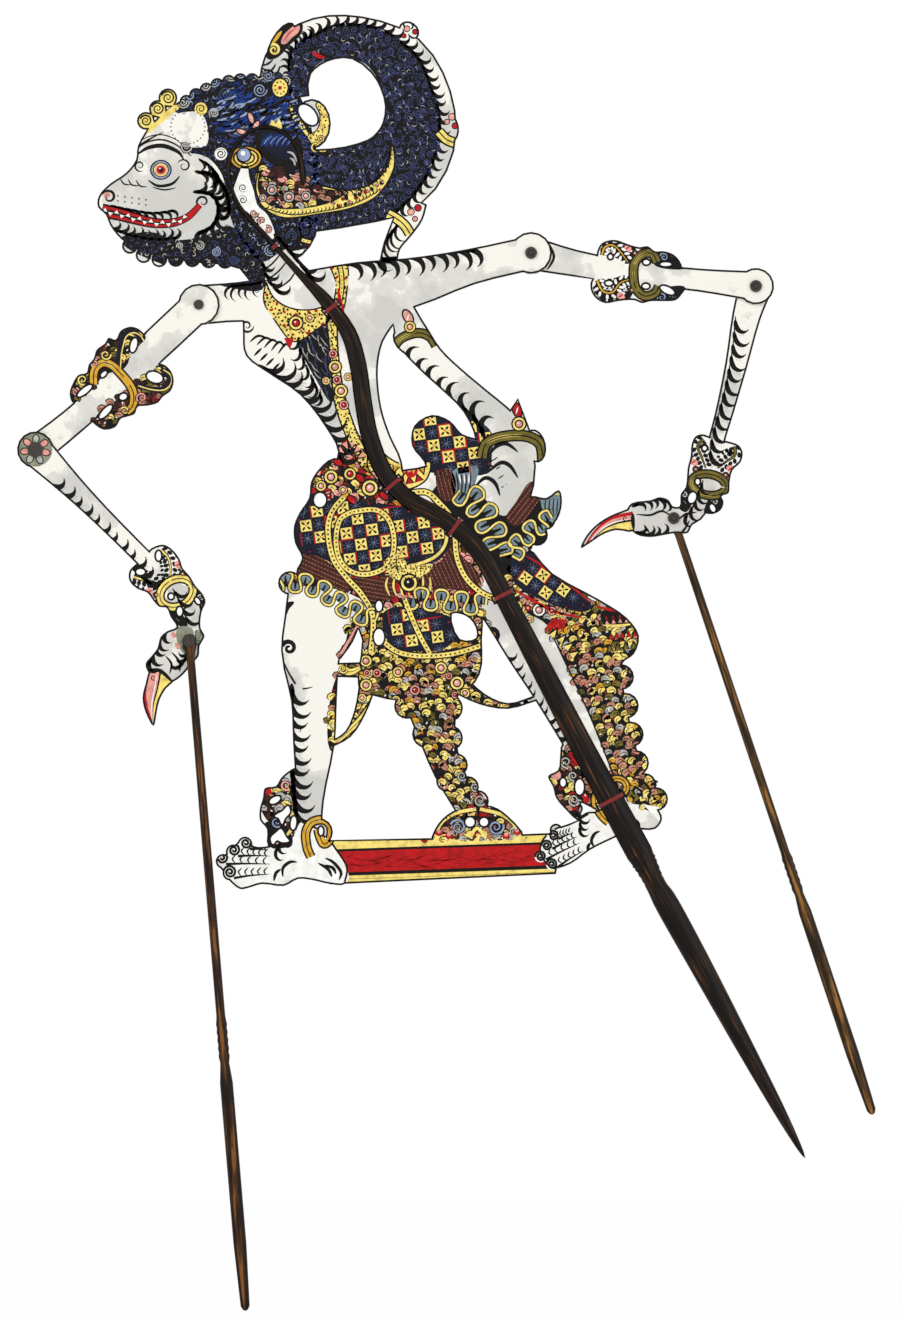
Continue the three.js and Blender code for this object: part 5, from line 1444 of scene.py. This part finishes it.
def frames(stations, steps):
    """Sections along a rod: middle, direction, half width and half depth, all in metres."""
    rows = spline([(*on_sheet(x, y), w / 2 * MILLIMETRE, d / 2 * MILLIMETRE) for x, y, w, d in stations],
                  steps=steps)
    found = []
    for i, (x, z, across, through) in enumerate(rows):
        before, after = rows[max(i - 1, 0)], rows[min(i + 1, len(rows) - 1)]
        along = Vector((after[0] - before[0], 0, after[1] - before[1])).normalized()
        found.append((Vector((x, 0, z)), along, across, through))
    return found


class Shell:
    """Rings of points joined into closed tubes, with a UV map that runs along the tube."""

    def __init__(self):
        self.vertices, self.faces, self.places = [], [], []

    def tube(self, rings):
        sides = len(rings[0])
        first = len(self.vertices)
        run = 0
        rows = []
        for i, row in enumerate(rings):
            if i:
                run += (row[0] - rings[i - 1][0]).length
            rows.append(run)
            self.vertices.extend(row)
        for i in range(len(rings) - 1):
            for k in range(sides):
                a, b = first + i * sides + k, first + i * sides + (k + 1) % sides
                self.faces.append((a, b, b + sides, a + sides))
                self.places.append([(rows[i], k / sides), (rows[i], (k + 1) / sides),
                                    (rows[i + 1], (k + 1) / sides), (rows[i + 1], k / sides)])
        last = first + (len(rings) - 1) * sides
        for cap, run in ((list(range(first, first + sides))[::-1], rows[0]),
                         (list(range(last, last + sides)), rows[-1])):
            self.faces.append(cap)
            self.places.append([(run, 0)] * sides)

    def build(self, name, material):
        mesh = bpy.data.meshes.new(name)
        mesh.from_pydata([tuple(v) for v in self.vertices], [], self.faces)
        layer = mesh.uv_layers.new(name="along")
        spots = [spot for row in self.places for spot in row]
        for item, (u, v) in zip(layer.data, spots):
            item.uv = (u * UV_PER_METRE, v)
        mesh.polygons.foreach_set("use_smooth", [True] * len(mesh.polygons))
        mesh.set_sharp_from_angle(angle=math.radians(SHARP_ANGLE))
        obj = add_object(name, mesh)
        mesh.materials.append(material)
        return obj


def section(frame_row, clamp=None):
    """One ring of a rod; clamp is the side, -1 or 1, of a leaf that is cut flat along the slit."""
    middle, along, across, through = frame_row
    side = Vector((-along.z, 0, along.x))
    row = []
    for k in range(ROD_SIDES):
        a = 2 * math.pi * k / ROD_SIDES
        y = through * math.sin(a)
        if clamp:
            y = clamp * max(clamp * y, SLIT / 2)
        row.append(middle + side * across * math.cos(a) + Vector((0, y, 0)))
    return row


def main_rod(material):
    rows = frames(ROD_STATIONS, ROD_STEPS)
    split = SPLIT_STATION * ROD_STEPS
    shell = Shell()
    leaves_rows = rows[:split + 1]
    handle_rows = rows[split:]
    for clamp in (-1, 1):
        # A leaf is cut square across where it meets the solid handle
        shell.tube([section(row, clamp) for row in leaves_rows])
    grooved = []
    for i, (middle, along, across, through) in enumerate(handle_rows):
        run = i / ROD_STEPS
        cut = 0.93 if 0.2 < run < 2.6 and i % 2 else 1
        grooved.append((middle, along, across * cut, through * cut))
    shell.tube([section(row) for row in grooved])
    rod = shell.build("split_horn_rod", material)
    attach(rod, "root")
    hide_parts("main_rod")


def tie(i, place, material):
    """Five turns of thread round both leaves of the rod."""
    wanted = Vector((on_sheet(*place)[0], 0, on_sheet(*place)[1]))
    middle, along, across, through = min(frames(ROD_STATIONS, TIE_STEPS),
                                         key=lambda row: (row[0] - wanted).length)
    side = Vector((-along.z, 0, along.x))
    shell = Shell()
    half = THREAD / 2
    reach = TIE_WIDTH / 2 - half
    turns, around, sides = 5, 40, 8
    rings = []
    for n in range(turns * around + 1):
        t = n / around
        a = 2 * math.pi * t
        shift = -reach + 2 * reach * n / (turns * around)
        out = (side * math.cos(a) * (across + TIE_INNER + half)
               + Vector((0, math.sin(a), 0)) * (through + TIE_INNER + half))
        centre = middle + along * shift + out
        outward = (side * math.cos(a) / across + Vector((0, math.sin(a), 0)) / through).normalized()
        rings.append([centre + outward * half * math.cos(2 * math.pi * k / sides)
                      + along * half * math.sin(2 * math.pi * k / sides) for k in range(sides)])
    shell.tube(rings)
    loop = shell.build(f"thread_turns_{i}", material)
    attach(loop, "root")
    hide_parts(f"rod_tie_{i}")


# The hand rods, in millimetres and degrees
FRONT_ROD_LENGTH, FRONT_ROD_ANGLE = 402, -85.2
BACK_ROD_LENGTH, BACK_ROD_ANGLE = 378, -71.5
HAND_ROD_RADIUS = 2.7
HAND_ROD_GRIP_RADIUS = 3.9
HAND_ROD_EYE_RADIUS = 4.3
BORE_RADIUS = 1.8 * MILLIMETRE


def hand_rod(label, length, degrees, material):
    joint = next(j for j in frame["joints"] if j["name"] == f"{label}_hand")
    pin = Vector(joint["pos_m"])
    along = Vector((math.cos(math.radians(degrees)), 0, math.sin(math.radians(degrees))))
    low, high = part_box(f"{label}_hand_rod")
    y = (low[1] + high[1]) / 2
    eye, r, grip = HAND_ROD_EYE_RADIUS, HAND_ROD_RADIUS, HAND_ROD_GRIP_RADIUS
    rows = [(-eye, 0.2, 0.4), (-eye * 0.82, eye * 0.57, r * 0.8), (-eye * 0.4, eye * 0.92, r), (0, eye, r),
            (eye * 0.8, eye * 0.96, r), (eye * 1.6, r * 1.1, r), (eye * 2.4, 0.9 * r, r),
            (length * 0.3, r, r), (length * 0.56, r, r)]
    for k in range(5):
        rows.extend([(length * (0.566 + 0.012 * k), r * 1.1, r * 0.94),
                     (length * (0.572 + 0.012 * k), r * 1.25, r)])
    rows.extend([(length * 0.63, r, r * 0.96), (length * 0.66, grip, r), (length * 0.9, grip, r),
                 (length - 3, 0.7 * grip, 0.7 * r), (length - 0.8, 0.42 * grip, 0.42 * r),
                 (length, 0.2, 0.2)])
    rings, cut_rows = [], []
    for (s0, w0, d0), (s1, w1, d1) in zip(rows, rows[1:]):
        steps = 2 if s1 - s0 < 20 else 6
        cut_rows.extend((s0 + (s1 - s0) * i / steps, w0 + (w1 - w0) * i / steps, d0 + (d1 - d0) * i / steps)
                        for i in range(steps))
    cut_rows.append(rows[-1])
    for s, w, d in cut_rows:
        middle = pin + along * s * MILLIMETRE
        middle.y = y
        rings.append(section((middle, along, w * MILLIMETRE, d * MILLIMETRE)))
    shell = Shell()
    shell.tube(rings)
    rod = shell.build(f"{label}_horn_hand_rod", material)
    bore(rod, Vector((pin.x, y, pin.z)), BORE_RADIUS)
    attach(rod, f"{label}_hand_rod")
    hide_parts(f"{label}_hand_rod")


def bore(obj, place, radius):
    """Cuts a round hole through obj along the puppet's depth."""
    sides = 24
    rings = [[place + Vector((radius * math.cos(2 * math.pi * k / sides), depth,
                              radius * math.sin(2 * math.pi * k / sides))) for k in range(sides)]
             for depth in (0.02, -0.02)]
    shell = Shell()
    shell.tube(rings)
    cutter = shell.build("bore_cutter", obj.data.materials[0])
    cut = obj.modifiers.new("bore", "BOOLEAN")
    cut.object = cutter
    cut.operation = "DIFFERENCE"
    cut.solver = "EXACT"
    graph = bpy.context.evaluated_depsgraph_get()
    mesh = bpy.data.meshes.new_from_object(obj.evaluated_get(graph))
    obj.modifiers.clear()
    obj.data = mesh
    bpy.data.objects.remove(cutter)


hide = hide_material()
horn = horn_material("dark_horn", (0.055, 0.036, 0.028), (0.42, 0.25, 0.11), (3, 22, 1), 0.34)
# The hand rods' last argument is the strength of their painted highlight along the middle of the rod
brown_horn = horn_material("brown_horn", (0.10, 0.055, 0.035), (0.50, 0.31, 0.13), (3, 9, 1), 0.34, 0.11)
olive_horn = horn_material("olive_horn", (0.15, 0.10, 0.045), (0.58, 0.40, 0.18), (3, 9, 1), 0.34, 0.11)
thread = thread_material()
pin = pin_material()
for name, node in frame["nodes"].items():
    if name.endswith(("pin", "collar")):
        set_material(node, pin)
    elif name.endswith(("plate", "upper_arm", "forearm")):
        set_material(node, hide)
main_rod(horn)
for i, place in enumerate(TIES):
    tie(i + 1, place, thread)
hand_rod("front", FRONT_ROD_LENGTH, FRONT_ROD_ANGLE, brown_horn)
hand_rod("back", BACK_ROD_LENGTH, BACK_ROD_ANGLE, olive_horn)


# Floor, lights and camera

# Metres and watts
LIGHT_SIZE = 2.0
LIGHTS = (
    ("key", (-1.6, -2.4, 1.8), 34),
    ("fill", (1.8, -2.2, 0.9), 18),
    ("rear", (0.6, 2.6, 1.8), 34),
)
FLOOR_GAP = 0.001
FLOOR_X, FLOOR_Y = (-1.6, 1.2), (-1.5, 0.6)
FLOOR_TONE = 0.88
FLOOR_GLOW = 0.94
AMBIENT = 0.6
# Millimetres
SENSOR_WIDTH = 36
LENS = 135


def soft_light(name, place, target, power):
    data = bpy.data.lights.new(name, "AREA")
    data.shape = "SQUARE"
    data.size = LIGHT_SIZE
    data.energy = power
    lamp = add_object(name, data)
    lamp.location = place
    lamp.rotation_mode = "QUATERNION"
    lamp.rotation_quaternion = (Vector(target) - Vector(place)).to_track_quat("-Z", "Y")


def show_mixed(tree, share, first, second, output):
    """Sends a mix of two shaders to an output node."""
    mix = tree.nodes.new("ShaderNodeMixShader")
    tree.links.new(share, mix.inputs["Fac"])
    tree.links.new(first, mix.inputs[1])
    tree.links.new(second, mix.inputs[2])
    tree.links.new(mix.outputs["Shader"], tree.nodes[output].inputs["Surface"])


def white_floor():
    """Pale paper that the camera sees nearly white, and that keeps the puppet's shadow."""
    (left, right), (near, far), z = FLOOR_X, FLOOR_Y, cad_low.z - FLOOR_GAP
    mesh = bpy.data.meshes.new("floor")
    mesh.from_pydata([(left, near, z), (right, near, z), (right, far, z), (left, far, z)], [], [(0, 1, 2, 3)])
    floor = add_object("floor", mesh)
    material, tree, shader = new_material("floor_paper")
    shader.inputs["Base Color"].default_value = (FLOOR_TONE, FLOOR_TONE, FLOOR_TONE, 1)
    shader.inputs["Roughness"].default_value = 0.9
    glow = tree.nodes.new("ShaderNodeEmission")
    glow.inputs["Strength"].default_value = 1.0
    path = tree.nodes.new("ShaderNodeLightPath")
    share = math_node(tree, "MULTIPLY", path.outputs["Is Camera Ray"], FLOOR_GLOW)
    show_mixed(tree, share, shader.outputs["BSDF"], glow.outputs["Emission"], "Material Output")
    set_material(floor, material)


def white_world():
    """Soft light on the puppet, and white for the camera and for gloss and clear rays."""
    world = bpy.data.worlds.new("studio")
    bpy.context.scene.world = world
    world.use_nodes = True
    tree = world.node_tree
    ambient = tree.nodes["Background"]
    white = tree.nodes.new("ShaderNodeBackground")
    for background, strength in ((ambient, AMBIENT), (white, 1.0)):
        background.inputs["Color"].default_value = (1, 1, 1, 1)
        background.inputs["Strength"].default_value = strength
    rays = tree.nodes.new("ShaderNodeLightPath").outputs
    share = math_node(tree, "MAXIMUM", rays["Is Camera Ray"], rays["Is Glossy Ray"])
    share = math_node(tree, "MAXIMUM", share, rays["Is Transmission Ray"])
    show_mixed(tree, share, ambient.outputs["Background"], white.outputs["Background"], "World Output")


def flat_camera():
    """A long lens square to the figure, framed on the whole pattern sheet."""
    x, z = on_sheet(SHEET_SIZE[0] / 2, SHEET_SIZE[1] / 2)
    height = SHEET_SIZE[1] * SQUARE
    data = bpy.data.cameras.new("camera")
    data.sensor_width = SENSOR_WIDTH
    data.lens = LENS
    distance = height / 2 / math.tan(math.atan(SENSOR_WIDTH / 2 / LENS))
    camera = add_object("camera", data)
    camera.location = (x, -distance, z)
    camera.rotation_euler = (math.radians(90), 0, 0)
    bpy.context.scene.camera = camera


middle = (cad_low + cad_high) / 2
white_floor()
white_world()
for name, place, power in LIGHTS:
    soft_light(name, place, middle, power)
flat_camera()
bpy.context.scene.view_settings.view_transform = "Standard"
